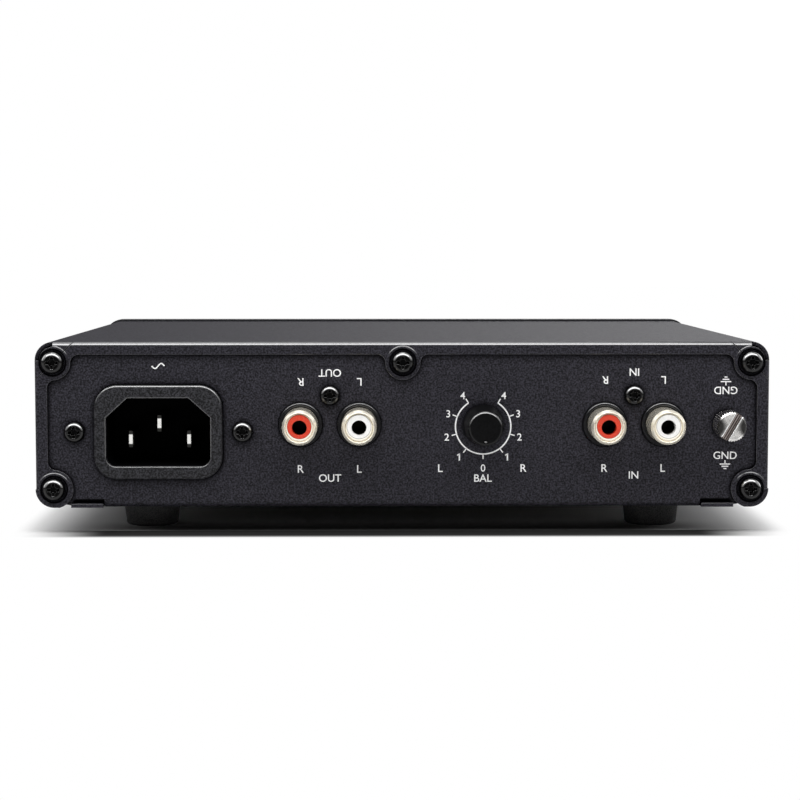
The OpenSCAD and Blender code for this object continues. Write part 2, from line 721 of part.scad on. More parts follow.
module jack_screws() color("black") in_case() for (x = jack_pairs)
  outwards(x, panel_face, jack_z + jack_screw_up) pan_screw(jack_head_d, 1.7, jack_thread_r, 7);

// ---- Balance control ------------------------------------------------------

shaft_r = shaft_d / 2;
shaft_flat = 1;
knob_face = panel_face - knob_gap - knob_l;
bush_wall = 0.55;
pot_y = panel_y + 1.2;
shaft_tip = knob_face + 2;      // outer end of the shaft, inside the knob

// Round section with a flat, where shaft and knob drive each other
module drive_section(grow) difference() {
  circle(shaft_r + grow);
  translate([-shaft_r - 1, shaft_r - shaft_flat + grow]) square([shaft_d + 2, shaft_d]);
}

module balance_knob() color(moulded_black) in_case() difference() {
  edge = 0.7;
  r1 = knob_tip_d / 2;
  outwards(balance_x, panel_face - knob_gap, jack_z) rotate_extrude() {
    polygon([[0, 0], [knob_d / 2, 0], [r1, knob_l - edge], [r1 - edge, knob_l], [0, knob_l]]);
    translate([r1 - edge, knob_l - edge]) intersection() { circle(edge); square(edge); }
  }
  outwards(balance_x, panel_face - knob_gap + 1, jack_z) {
    linear_extrude(knob_l - 0.8) drive_section(fit_gap);
    cylinder(r = shaft_r + 0.4, h = 2.2);
  }
  outwards(balance_x, knob_face + 0.3, jack_z - r1 + 1) cylinder(r = 0.35, h = 1);
}

module balance_shaft() color(nickel) in_case() difference() {
  outwards(balance_x, pot_y + 6, jack_z) cylinder(r = shaft_r, h = pot_y + 6 - shaft_tip);
  translate([balance_x - shaft_d, shaft_tip - 1, jack_z + shaft_r - shaft_flat])
    cube([2 * shaft_d, panel_face - knob_gap - shaft_tip, shaft_d]);
}

module balance_pot() color([0.55, 0.56, 0.58]) in_case() difference() {
  union() {
    translate([balance_x - 6.5, pot_y, board_top]) cube([13, 9.5, jack_z - board_top + 6.5]);
    inwards(balance_x, panel_y - 0.6, jack_z) cylinder(r = shaft_r + bush_wall, h = pot_y - panel_y + 1);
  }
  inwards(balance_x, -1, jack_z) cylinder(r = shaft_r + turn_gap, h = pot_y + 9);
}

// ---- Ground terminal ------------------------------------------------------

thread_r = ground_thread_d / 2;
screw_turn_gap = 0.06;
slot_angle = 60;

module knurl_outline() {
  r = ground_head_d / 2;
  polygon([for (i = [0 : 2 * knurl_count - 1])
    let (a = 180 * i / knurl_count, ri = r - (i % 2) * knurl_depth) [ri * cos(a), ri * sin(a)]]);
}

module ground_screw() color(nickel) in_case() {
  r = ground_head_d / 2 + 0.1;  // just clear of the ridges, so that only the bevels cut them
  bevel = 0.65;
  outwards(ground_x, panel_face - washer_t, jack_z) difference() {
    intersection() {
      linear_extrude(ground_head_l) knurl_outline();
      rotate_extrude() polygon([[0, 0], [r - bevel, 0], [r, bevel], [r, ground_head_l - bevel],
                                [r - bevel, ground_head_l], [0, ground_head_l]]);
    }
    rotate(slot_angle) translate([-ground_head_d, -slot_w / 2, ground_head_l - 1.6])
      cube([2 * ground_head_d, slot_w, 3]);
  }
  inwards(ground_x, panel_face - washer_t - eps, jack_z) cylinder(r = thread_r - screw_turn_gap, h = 9);
}

module ground_washer() color(nickel) in_case()
  inwards(ground_x, panel_face - washer_t, jack_z) ring(ground_head_d / 2 - 0.3, thread_r + 0.1, washer_t);

module ground_insert() color(tin) in_case() difference() {
  union() {
    inwards(ground_x, panel_face, jack_z) cylinder(r = thread_r + 1 - fit_gap, h = sheet + eps);
    inwards(ground_x, panel_y, jack_z) cylinder(r = 4.4, h = 4.5);
  }
  inwards(ground_x, -1, jack_z) cylinder(r = thread_r, h = 12);
}

// ---- Board ----------------------------------------------------------------

module main_board() color([0.1, 0.35, 0.18]) in_case() difference() {
  translate([-board_half, board_y0, board_z]) cube([2 * board_half, board_y1 - board_y0, board_t]);
  translate([-board_half - 1, board_y0 - 1, board_z - 1])
    cube([notch_x + board_half + 1, notch_y - board_y0 + 1, board_t + 2]);
  for (p = posts) translate([p[0], p[1], board_z - 1]) cylinder(r = m3_clear, h = board_t + 2);
}

module standoffs() color(tin) in_case() for (p = posts) difference() {
  translate([p[0], p[1], p[2]]) cylinder(r = 3.2, h = board_z - p[2], $fn = 6);
  translate([p[0], p[1], p[2] + 0.5]) cylinder(r = m3_tap, h = board_z);
}

module board_screws() color(tin) in_case()
  for (p = posts) translate([p[0], p[1], board_top]) pan_screw(5.4, 2, m3_r, 4.5);

// Places for what stands on the board, from the inlet's middle or the case's middle
module on_board(x, y) translate([x, y, board_top]) children();

header_x = inlet_x + 6;
header_y = 44;
module mains_header() color("white") in_case() on_board(header_x, header_y) difference() {
  translate([-9, -4.5, 0]) cube([18, 9, 9]);
  for (s = [-1, 1]) translate([s * 5 - 3, -1.5, 4]) cube([6, 3, 6]);
}

wire_r = 1.1;
wire_stub = 2.5;                // straight run out of a tab or into a terminal

module mains_leads() color("saddlebrown") in_case() for (s = [-1, 1]) {
  tab_x = inlet_x + s * pin_pitch / 2;
  end_x = header_x + s * 5;
  end_y = header_y - 4.5;
  end_z = board_top + 2.2;
  wire([[tab_x, tab_end, live_z], [tab_x, tab_end + wire_stub, live_z],
        [end_x, end_y - wire_stub, end_z], [end_x, end_y, end_z]], wire_r);
}

stud_x = notch_x - 6;
stud_y = notch_y - 5;
stud_h = 9;
module earth_stud() color(tin) in_case() translate([stud_x, stud_y, sheet]) {
  cylinder(r = 1.9, h = stud_h);
  cylinder(r = 3.9, h = ring_z - sheet, $fn = 6);
}

ring_z = sheet + 3;
ring_t = 0.8;

// The lead ends in a ring terminal, which the nut clamps on the stud
module earth_lead() color("yellowgreen") in_case() {
  lead_z = ring_z + wire_r + 0.1;
  wire([[inlet_x, tab_end, earth_z], [inlet_x, tab_end + wire_stub, earth_z],
        [stud_x - 9, stud_y, lead_z], [stud_x - 4.6, stud_y, lead_z]], wire_r);
  translate([stud_x, stud_y, ring_z]) difference() {
    union() {
      cylinder(r = 3.6, h = ring_t);
      translate([-6, -1.5, 0]) cube([6, 3, ring_t]);
    }
    translate([0, 0, -1]) cylinder(r = 2, h = 3);
  }
}

module earth_nut() color(tin) in_case() translate([stud_x, stud_y, ring_z + ring_t])
  difference() {
    cylinder(r = 3.6, h = 2.8, $fn = 6);
    translate([0, 0, -1]) cylinder(r = 1.93, h = 5);
  }

mains_y = notch_y + 29;         // the filter's row
switch_rear = switch_front - switch_d;
bulk_y = (mains_y + 9.5 + switch_rear - 1) / 2;
fuse_x = inlet_x - 14.5;
fuse_r = 2.5;
fuse_l = 20;
fuse_up = 4.2;
clip_l = 5;
module fuse() color([0.9, 0.9, 0.85]) in_case()
  inwards(fuse_x, mains_y + 1 - fuse_l / 2, board_top + fuse_up) cylinder(r = fuse_r, h = fuse_l);
module fuse_clips() color(tin) in_case() for (s = [-1, 1])
  translate([fuse_x, mains_y + 1 + s * (fuse_l / 2 - clip_l / 2 - 0.5), board_top]) difference() {
    translate([-fuse_r - 0.9, -clip_l / 2, 0]) cube([2 * fuse_r + 1.8, clip_l, fuse_up + fuse_r + 0.8]);
    inwards(0, -clip_l, fuse_up) cylinder(r = fuse_r + fit_gap, h = 2 * clip_l);
    translate([-fuse_r + 0.5, -clip_l, fuse_up]) cube([2 * fuse_r - 1, 2 * clip_l, fuse_r + 3]);
  }

module suppression_capacitor() color("gold") in_case() on_board(inlet_x - 3.7, mains_y)
  soft_plate(9, 18, 1, 15, 0.8);

module line_choke() color("darkorange") in_case() on_board(inlet_x + 13.2, mains_y) {
  translate([0, 0, 5.5]) rotate_extrude() translate([7, 0]) circle(4);
  cylinder(r = 9, h = 1.6);
}

module bridge_rectifier() color(moulded_black) in_case() on_board(inlet_x - 15.5, bulk_y)
  soft_plate(9, 9, 0.8, 6, 0.6);

// The supply stands beside the transformer; the audio section fills the board's
// other end in four columns, and both share its rows
supply_x = inlet_x + 39.75;
audio_x0 = supply_x + 40.5;
audio_x1 = board_half - 16;
audio_y0 = mains_y + 12;
audio_y1 = board_y1 - 15.5;
function column(i) = audio_x0 + i * (audio_x1 - audio_x0) / 3;
function row(j) = audio_y0 + j * (audio_y1 - audio_y0) / 3;

module can_capacitor(r, h) rotate_extrude() difference() {
  puck_profile(r, h, 0.6);
  translate([r + 0.5, 2]) circle(0.9);
}

module bulk_capacitor() color("midnightblue") in_case() on_board(inlet_x - 1.7, bulk_y)
  can_capacitor(7.5, 25);

module switching_transformer() color("khaki") in_case() on_board(inlet_x + 21, bulk_y + 4.5) {
  translate([-10, -9, 0]) cube([20, 18, 3]);
  translate([-7, -10.5, 3 - eps]) cube([14, 21, 12]);
  difference() {
    translate([-11, -5, 3 - eps]) cube([22, 10, 16]);
    for (s = [-1, 1]) translate([s * 8.3 - 0.6, -6, 5]) cube([1.2, 12, 11]);
  }
}

module smoothing_capacitors() color("black") in_case()
  for (i = [0, 1], j = [0, 1]) on_board(supply_x + i * 10, row(j)) can_capacitor(4, 12);

heatsink_x = supply_x + 24.5;
heatsink_ys = [row(0.5) - 10, row(0.5) + 10];
heatsink_t = 2;
module heatsinks() color(tin) in_case() for (y = heatsink_ys) on_board(heatsink_x, y) {
  translate([-heatsink_t / 2, -8, 0]) cube([heatsink_t, 16, 20]);
  for (j = [-3 : 3]) translate([heatsink_t / 2 - eps, j * 2.4 - 0.5, 0]) cube([6, 1, 20]);
}

module regulators() color(moulded_black) in_case() for (y = heatsink_ys)
  on_board(heatsink_x - heatsink_t / 2, y) {
    translate([-4.5, -5, 3]) cube([4.5, 10, 9]);
    translate([-1.3, -5, 12 - eps]) cube([1.3, 10, 6]);
    for (j = [-1, 0, 1]) translate([-2.6, j * 2.5 - 0.4, 0]) cube([0.6, 0.8, 3 + eps]);
  }

module muting_relay() color([0.2, 0.25, 0.3]) in_case() on_board(output_x, notch_y - 6)
  soft_plate(20, 10, 0.6, 12, 0.5);

// Eight-legged chips
module chip() {
  translate([-4.8, -3.2, 0.6]) difference() {
    cube([9.6, 6.4, 3.3]);
    translate([0, 3.2, 2.3]) cylinder(r = 0.8, h = 2);
  }
  for (i = [-1.5 : 1.5], s = [-1, 1]) translate([i * 2.54 - 0.3, s * 3.7 - 0.5, 0]) cube([0.6, 1, 2.2]);
}
module amplifier_chips() color(moulded_black) in_case()
  for (i = [0, 2], y = [notch_y - 1, mains_y]) on_board(column(i), y) chip();

module film_capacitors() color("firebrick") in_case()
  for (i = [0 : 3], j = [0, 1]) on_board(column(i), row(j))
    linear_extrude(8.5) rounded(4, 7.2, 0.5);

module coupling_capacitors() color("darkslateblue") in_case()
  for (i = [0 : 3], j = [2, 3]) on_board(column(i), row(j)) can_capacitor(3.2, 11);

module resistors() color("tan") in_case()
  for (i = [0 : 3], j = [0 : 2]) on_board(column(i), notch_y + 10 + 5 * j)
    translate([-3.2, 0, 1.1]) rotate([0, 90, 0]) cylinder(r = 1.1, h = 6.4);

cover();
chassis();
front_fascia();
fascia_screws();
cover_screws();
rubber_feet();
foot_screws();
power_button();
button_rod();
power_switch();
light_pipe();
status_led();
led_holder();
inlet_body();
inlet_live_pins();
inlet_earth_pin();
inlet_screws();
inlet_nuts();
output_jack_block();
input_jack_block();
jack_screws();
output_right_shell();
output_left_shell();
input_right_shell();
input_left_shell();
output_right_insulator();
output_left_insulator();
input_right_insulator();
input_left_insulator();
jack_contacts();
balance_knob();
balance_shaft();
balance_pot();
ground_screw();
ground_washer();
ground_insert();
main_board();
standoffs();
board_screws();
mains_leads();
mains_header();
earth_lead();
earth_stud();
earth_nut();
fuse();
fuse_clips();
suppression_capacitor();
line_choke();
bridge_rectifier();
bulk_capacitor();
switching_transformer();
smoothing_capacitors();
heatsinks();
regulators();
muting_relay();
amplifier_chips();
film_capacitors();
coupling_capacitors();
resistors();
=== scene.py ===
"""Looks of a small phono preamplifier: finishes, printed dial and lettering, light and camera."""
import math
from functools import reduce

import bmesh
import bpy
import numpy as np
from bpy.props import FloatProperty, FloatVectorProperty, PointerProperty
from mathutils import Matrix, Vector


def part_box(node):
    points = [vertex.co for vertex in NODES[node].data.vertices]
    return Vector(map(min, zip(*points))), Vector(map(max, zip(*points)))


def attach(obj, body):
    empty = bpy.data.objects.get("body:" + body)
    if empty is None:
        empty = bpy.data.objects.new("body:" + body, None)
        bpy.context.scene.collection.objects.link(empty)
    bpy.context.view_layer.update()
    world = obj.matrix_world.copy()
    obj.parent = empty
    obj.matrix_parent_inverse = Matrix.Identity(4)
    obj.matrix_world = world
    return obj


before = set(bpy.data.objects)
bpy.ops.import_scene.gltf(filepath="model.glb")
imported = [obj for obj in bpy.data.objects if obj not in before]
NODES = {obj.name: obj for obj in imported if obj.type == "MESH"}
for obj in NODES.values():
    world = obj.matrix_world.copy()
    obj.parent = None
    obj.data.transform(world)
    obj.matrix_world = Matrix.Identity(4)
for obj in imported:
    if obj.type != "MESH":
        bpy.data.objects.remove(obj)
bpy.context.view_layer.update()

MM = 0.001

bl_info = {
    "name": "Phono preamplifier dress",
    "version": (1, 0, 0),
    "blender": (4, 5, 0),
    "location": "3D View > Sidebar > Preamp",
    "description": "Finishes, lettering, light and camera of a phono preamplifier",
    "category": "Object",
}


# ---- Places read from the solids ------------------------------------------------------

def middle(node):
    """Middle of a node's box."""
    low, high = (Vector(corner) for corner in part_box(node))
    return (low + high) / 2


CASE_LOW, CASE_HIGH = (Vector(corner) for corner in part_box("cover"))
SHAFT = middle("balance_shaft")
GROUND = middle("ground_screw")
INLET = middle("inlet_body")
OUTPUTS = [middle(node).x for node in ("output_right_shell", "output_left_shell")]
INPUTS = [middle(node).x for node in ("input_right_shell", "input_left_shell")]

# Rearmost places along Y, which runs from the rear panel towards the fascia
PANEL_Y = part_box("chassis")[0][1]
COLLAR_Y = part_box("inlet_body")[0][1]
GROUND_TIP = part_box("ground_screw")[0][1]
KNOB_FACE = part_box("balance_knob")[0][1]

# Distances of the cover's screws from its sides, its top and its lower edge
SCREW_SIDE, SCREW_TOP, SCREW_LOW = 4.4 * MM, 4.9 * MM, 4.4 * MM

# Lean of the slot in the ground screw, from level
SLOT_ANGLE = math.radians(60)


# ---- Places of the print, in millimetres from the shaft's axis ---------------------------

# Numbers on the right half of the dial, across and up; its left half mirrors them
DIAL_NUMBERS = {"0": (0.0, -10.48), "1": (5.75, -7.83), "2": (8.7, -3.03), "3": (8.35, 2.55),
                "4": (4.9, 6.92)}
DIAL_WORD_UP = -12.9

# Channel letters of the dial, across, and how far up both are
DIAL_LETTERS = {"L": -10.2, "R": 9.7}
DIAL_LETTERS_UP = -10.5

# Channel letters of each pair of jacks: the upright row, and the row that stands on its head
JACK_LETTERS = ((OUTPUTS, -10.65, 10.2), (INPUTS, -10.53, 10.6))

# Short words: their place across in metres, the upright row, and the row on its head
GROUND_X = GROUND.x - 0.26 * MM
WORDS = (("OUT", sum(OUTPUTS) / 2, -12.84, 12.34), ("IN", sum(INPUTS) / 2, -12.22, 12.5),
         ("GND", GROUND_X, -7.5, 8.1))

# Earth signs by the ground screw: how far up, and which way each one points
EARTH_SIGNS = ((-9.9, -1.0), (10.5, 1.0))


# ---- Settings -------------------------------------------------------------------------

def length(name, description, value):
    """A size in metres, given here in millimetres."""
    return FloatProperty(name=name, description=description, default=value * MM, unit="LENGTH",
                         precision=5)


def colour(name, description, value):
    return FloatVectorProperty(name=name, description=description, default=value,
                               subtype="COLOR", min=0.0, max=1.0, size=3)


def angle(name, description, degrees):
    return FloatProperty(name=name, description=description, default=math.radians(degrees),
                         subtype="ANGLE")


def brightness(name, description, value):
    return FloatProperty(name=name, description=description, default=value, min=0.0)


class PrintSettings(bpy.types.PropertyGroup):
    arc_radius: length("Dial radius", "Radius of the dial's arc", 6.62)
    arc_drop: length("Dial drop", "How far the dial's middle is printed below the shaft", 0.5)
    arc_end: angle("Dial end", "Angle of the dial's ends from straight down", 148)
    stroke: length("Stroke", "Width of the printed lines", 0.33)
    tick: length("Tick", "Length of the dial's ticks", 1.2)
    digit: length("Digit height", "Height of the dial's numbers", 1.72)
    letter: length("Letter height", "Height of the channel letters", 1.86)
    word: length("Word height", "Height of the short words", 1.8)
    ink: length("Ink", "Thickness of the printed ink", 0.02)
    ink_colour: colour("Ink colour", "Colour of the printed ink", (0.95, 0.95, 0.95))
    weight: length("Ink spread", "How far the ink widens the letters", 0.02)


class FinishSettings(bpy.types.PropertyGroup):
    coat: colour("Powder coat", "Colour of the cover and the chassis", (0.0186, 0.0178, 0.0230))
    grain: length("Coat grain", "Size of the powder coat's grain", 0.42)
    fascia: colour("Fascia", "Colour of the front plate", (0.016, 0.016, 0.0185))
    oxide: colour("Black screws", "Colour of the blackened screws", (0.0015, 0.0015, 0.0015))
    rubber: colour("Rubber", "Colour of the feet", (0.06, 0.06, 0.06))
    moulding: colour("Moulding", "Colour of the black mouldings", (0.0138, 0.0138, 0.0158))
    knob: colour("Knob", "Colour of the knob and the button", (0.0028, 0.0028, 0.0031))
    gold: colour("Gold plate", "Colour of the jack shells", (0.98, 0.92, 0.79))
    nickel: colour("Nickel plate", "Colour of the ground screw", (0.92, 0.90, 0.88))
    red: colour("Red insulator", "Colour of the right channel's insulators",
                (0.66, 0.042, 0.012))
    white: colour("White insulator", "Colour of the left channel's insulators",
                  (0.90, 0.89, 0.87))


class StudioSettings(bpy.types.PropertyGroup):
    lens: FloatProperty(name="Lens", description="Focal length in millimetres", default=90.0)
    distance: length("Distance", "Camera's distance from the rear flange", 475.0)
    camera_x: length("Camera side", "Camera's place across the case", -6.86)
    camera_up: length("Camera height", "Camera's height above the case bottom", 62.07)
    yaw: angle("Yaw", "Turn to the right", 0.745)
    pitch: angle("Pitch", "Tilt downwards", 4.374)
    floor: colour("Floor", "Colour of the floor", (0.92, 0.92, 0.92))
    key: brightness("Key softbox", "Brightness of the high softbox behind the case", 4.1)
    overhead: brightness("Overhead softbox", "Brightness of the softbox over the case", 0.8)


# ---- Mesh helpers -----------------------------------------------------------------------

def new_piece(name, mesh, finish, body):
    """Puts a mesh on the scene as a piece with one finish, riding on a body if one is given."""
    mesh.materials.clear()
    mesh.materials.append(finish)
    piece = bpy.data.objects.new(name, mesh)
    bpy.context.scene.collection.objects.link(piece)
    if body:
        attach(piece, body)
    return piece


def joined_mesh(name, parts):
    """One mesh from several (points, faces) pairs, with its faces turned outwards."""
    counts = np.cumsum([0] + [len(points) for points, _ in parts])
    points = np.concatenate([points for points, _ in parts])
    faces = [[index + start for index in face]
             for start, (_, part) in zip(counts, parts) for face in part]
    mesh = bpy.data.meshes.new(name)
    mesh.from_pydata(points.tolist(), [], faces)
    shell = bmesh.new()
    shell.from_mesh(mesh)
    bmesh.ops.remove_doubles(shell, verts=shell.verts, dist=1e-7)
    bmesh.ops.recalc_face_normals(shell, faces=shell.faces)
    shell.to_mesh(mesh)
    shell.free()
    return mesh


def vertex_places(mesh):
    """A mesh's vertices as an array of points."""
    places = np.empty(len(mesh.vertices) * 3)
    mesh.vertices.foreach_get("co", places)
    return places.reshape(-1, 3)


def tube_part(rows):
    """Closed solid through rows of corner points: rows by corners by three."""
    count, corners = rows.shape[:2]
    index = np.arange(count * corners).reshape(count, corners)
    wrapped = np.hstack([index, index[:, :1]])
    quads = np.stack([wrapped[:-1, :-1], wrapped[:-1, 1:], wrapped[1:, 1:], wrapped[1:, :-1]],
                     axis=-1)
    faces = quads.reshape(-1, 4).tolist() + [index[0].tolist(), index[-1].tolist()]
    return rows.reshape(-1, 3), faces


def stroke(path, width, ink):
    """Flat ink line on the rear panel. A path of (across, up) points is moved half a width to
    either side along its own normal, once just inside the panel and once at the ink's face."""
    path = np.asarray(path, float)
    along = np.gradient(path, axis=0)
    along /= np.linalg.norm(along, axis=1, keepdims=True)
    side = np.stack([along[:, 1], -along[:, 0]], axis=1) * width / 2
    edges = np.stack([path + side, path + side, path - side, path - side], axis=1)
    sunk, proud = -0.25, 1.0
    depth = np.broadcast_to(PANEL_Y - ink * np.array([sunk, proud, proud, sunk]),
                            edges.shape[:2])
    return tube_part(np.stack([edges[..., 0], depth, edges[..., 1]], axis=-1))


def arc_path(centre, radius, start, end, steps):
    """Points of a circle; the angle runs from straight down, towards +X where it is positive."""
    turn = np.linspace(start, end, steps)
    return np.stack([centre[0] + radius * np.sin(turn), centre[1] - radius * np.cos(turn)],
                    axis=1)


def text_part(text, height, thickness, weight):
    """Outline letters as a solid in the XY plane, centred on the origin. The type is scaled so
    that a capital is height tall."""
    def letters(body, size):
        data = bpy.data.curves.new("letters", "FONT")
        data.body = body
        data.size = size
        data.extrude = thickness / 2
        data.offset = weight
        data.resolution_u = 5
        holder = bpy.data.objects.new("letters", data)
        mesh = bpy.data.meshes.new_from_object(holder)
        points = vertex_places(mesh)
        faces = [list(face.vertices) for face in mesh.polygons]
        bpy.data.objects.remove(holder)
        bpy.data.curves.remove(data)
        bpy.data.meshes.remove(mesh)
        return points, faces

    capital = np.ptp(letters("H", height)[0][:, 1])
    points, faces = letters(text, height * height / capital)
    return points - (points.min(axis=0) + points.max(axis=0)) / 2, faces


def label(text, x, z, height, look, upset=False):
    """A text printed on the rear panel with its middle at (x, z), from a quarter of the ink's
    thickness inside the panel to its face; upset turns it half round."""
    sunk = 0.25 * look.ink
    thickness = look.ink + sunk
    points, faces = text_part(text, height, thickness, look.weight)
    turn = -1.0 if upset else 1.0
    depth = PANEL_Y + sunk - thickness / 2 - points[:, 2]
    return np.stack([x + turn * points[:, 0], depth, z + turn * points[:, 1]], axis=1), faces


# ---- Shader helpers -----------------------------------------------------------------------

class Socket:
    """A shader socket that can be written in expressions. Each operator adds its Math node."""

    def __init__(self, tree, socket):
        self.tree = tree
        self.socket = socket

    def math(self, operation, *values):
        """What a Math node makes of the values."""
        node = self.tree.nodes.new("ShaderNodeMath")
        node.operation = operation
        for place, value in zip(node.inputs, values):
            plug(self.tree, place, value)
        return Socket(self.tree, node.outputs[0])

    def __add__(self, other):
        return self.math("ADD", self, other)

    def __radd__(self, other):
        return self.math("ADD", other, self)

    def __sub__(self, other):
        return self.math("SUBTRACT", self, other)

    def __rsub__(self, other):
        return self.math("SUBTRACT", other, self)

    def __mul__(self, other):
        return self.math("MULTIPLY", self, other)

    def __rmul__(self, other):
        return self.math("MULTIPLY", other, self)

    def __neg__(self):
        return self.math("MULTIPLY", self, -1.0)

    def __abs__(self):
        return self.math("ABSOLUTE", self)

    def __pow__(self, other):
        return self.math("POWER", self, other)

    def highest(self, other):
        return self.math("MAXIMUM", self, other)

    def lowest(self, other):
        return self.math("MINIMUM", self, other)

    def sine(self):
        return self.math("SINE", self)


def plug(tree, place, value):
    """Links or sets one input socket; None leaves it alone."""
    if value is None:
        return
    if isinstance(value, Socket):
        tree.links.new(value.socket, place)
    elif hasattr(place.default_value, "__len__") and len(value) < len(place.default_value):
        place.default_value = (*value, 1.0)
    else:
        place.default_value = value


class Graph:
    """A node tree under construction."""

    def __init__(self, tree):
        self.tree = tree
        self.tree.nodes.clear()

    def node(self, kind, settings=None, out=0, **inputs):
        """Adds any node: its settings first, then values or links for its sockets, which are
        named, or numbered as _0, _1 and so on."""
        node = self.tree.nodes.new(kind)
        for key, value in (settings or {}).items():
            setattr(node, key, value)
        for key, value in inputs.items():
            place = int(key[1:]) if key[0] == "_" else key.replace("_", " ")
            plug(self.tree, node.inputs[place], value)
        return Socket(self.tree, node.outputs[out])

    def noise(self, place, size, detail=2.0):
        """Noise from 0 to 1 whose features are about size metres across."""
        return self.node("ShaderNodeTexNoise", Vector=place, Scale=1.0 / size, Detail=detail)

    def ramp(self, value, low, high):
        """0 at low, 1 at high and smooth between."""
        return self.node("ShaderNodeMapRange", {"interpolation_type": "SMOOTHSTEP"},
                         Value=value, From_Min=low, From_Max=high)

    def fade(self, value, low, high):
        """1 at low, 0 at high and smooth between."""
        return 1.0 - self.ramp(value, low, high)

    def band(self, value, start, full, fading, end):
        """0 up to start, 1 from full to fading and 0 again from end on."""
        return self.ramp(value, start, full) * self.fade(value, fading, end)

    def axes(self, vector):
        """The three parts of a vector."""
        first = self.node("ShaderNodeSeparateXYZ", Vector=vector)
        return [Socket(self.tree, out) for out in first.socket.node.outputs]

    def combined(self, x, y, z):
        """A vector of three parts."""
        return self.node("ShaderNodeCombineXYZ", X=x, Y=y, Z=z)

    def mixed(self, share, first, second):
        """Mixes two colours."""
        return self.node("ShaderNodeMix", {"data_type": "RGBA"}, out=2, _0=share, _6=first,
                         _7=second)

    def around(self, x, z, *centres):
        """Distance from the nearest of the lines along Y through the centres, each (x, z)."""
        reaches = []
        for centre in centres:
            across, up = x - centre[0], z - centre[1]
            reaches.append((across * across + up * up) ** 0.5)
        return reduce(Socket.lowest, reaches)

    def path_is(self, *kinds):
        """1 for rays of the given kinds."""
        path = self.node("ShaderNodeLightPath").socket.node
        return reduce(Socket.highest, [Socket(self.tree, path.outputs[kind]) for kind in kinds])


class Finish(Graph):
    """A material under construction, with one Principled shader. Sockets of shaders are given
    by their names, with _ for a space."""

    def __init__(self, name):
        self.material = bpy.data.materials.new(name)
        self.material.use_nodes = True
        super().__init__(self.material.node_tree)
        self.shader = self.tree.nodes.new("ShaderNodeBsdfPrincipled")
        self.output = self.tree.nodes.new("ShaderNodeOutputMaterial")
        self.place = self.node("ShaderNodeTexCoord", out="Object")
        self.show(Socket(self.tree, self.shader.outputs[0]))

    def show(self, surface):
        """Makes a shader the one that is seen."""
        self.surface = surface
        self.tree.links.new(surface.socket, self.output.inputs["Surface"])

    def set(self, **inputs):
        """Sets or links sockets of the Principled shader."""
        for key, value in inputs.items():
            plug(self.tree, self.shader.inputs[key.replace("_", " ")], value)

    def overlay(self, mask, **inputs):
        """Lays a second shader over the first, as far as the mask says."""
        second = self.node("ShaderNodeBsdfPrincipled", **inputs)
        self.show(self.node("ShaderNodeMixShader", _0=mask, _1=self.surface, _2=second))

    def mottled(self, base, shares, noise, limits):
        """A colour that goes from one share of the base to the other, as a noise goes from one
        of its limits to the other."""
        first, last = (tinted(base, share) for share in shares)
        return self.mixed(self.ramp(noise, *limits), first, last)

    def rounded(self, radius, samples=6):
        """Surface normal with every sharp edge rounded to a radius."""
        return self.node("ShaderNodeBevel", {"samples": samples}, Radius=radius)

    def relief(self, height, depth, normal=None):
        """Surface normal of a relief of that depth in metres, on another normal."""
        return self.node("ShaderNodeBump", Strength=1.0, Distance=depth, Height=height,
                         Normal=normal)

    def shoulders(self, upper=False, start=0.1):
        """1 on roundings between a face that looks rearwards and one that lies along Y. They
        begin where the normal leans rearwards by start; upper keeps only those that look up."""
        full, almost_flat, flat = start + 0.25, 0.93, 0.99
        _, y, z = self.axes(self.node("ShaderNodeTexCoord", out="Normal"))
        mask = self.band(-y, start, full, almost_flat, flat)
        return mask * self.ramp(z, 0.05, 0.3) if upper else mask

    def edges(self, rounded):
        """1 along sharp edges and 0 on open faces: how far the rounded normal leans off the
        true one, from 8 to 28 degrees, of which 1 less the cosine is taken."""
        true = self.node("ShaderNodeNewGeometry", out="True Normal")
        along = self.node("ShaderNodeVectorMath", {"operation": "DOT_PRODUCT"}, out="Value",
                          _0=rounded, _1=true)
        return self.ramp(1.0 - along, 0.01, 0.12)

    def crease_shade(self, reach):
        """1 deep in the angle between two faces and 0 on open ones, by the share of the space
        within reach that is open. It masks painted shade."""
        open_share = self.node("ShaderNodeAmbientOcclusion", {"samples": 6}, out="AO",
                               Distance=reach)
        return self.fade(open_share, 0.45, 0.95)


def assign(finish, *nodes):
    """Gives CAD nodes a finish, in every slot that they have."""
    for node in nodes:
        slots = NODES[node].material_slots
        if not slots:
            NODES[node].data.materials.append(finish)
        for place in slots:
            place.material = finish


def tinted(base, share):
    """A colour made darker or paler by a share, up to white."""
    return tuple(min(c * share, 1.0) for c in base)


# ---- Finishes ---------------------------------------------------------------------------

# Refractive index of a polished edge, which makes it shine more than the rest
POLISH = 2.5


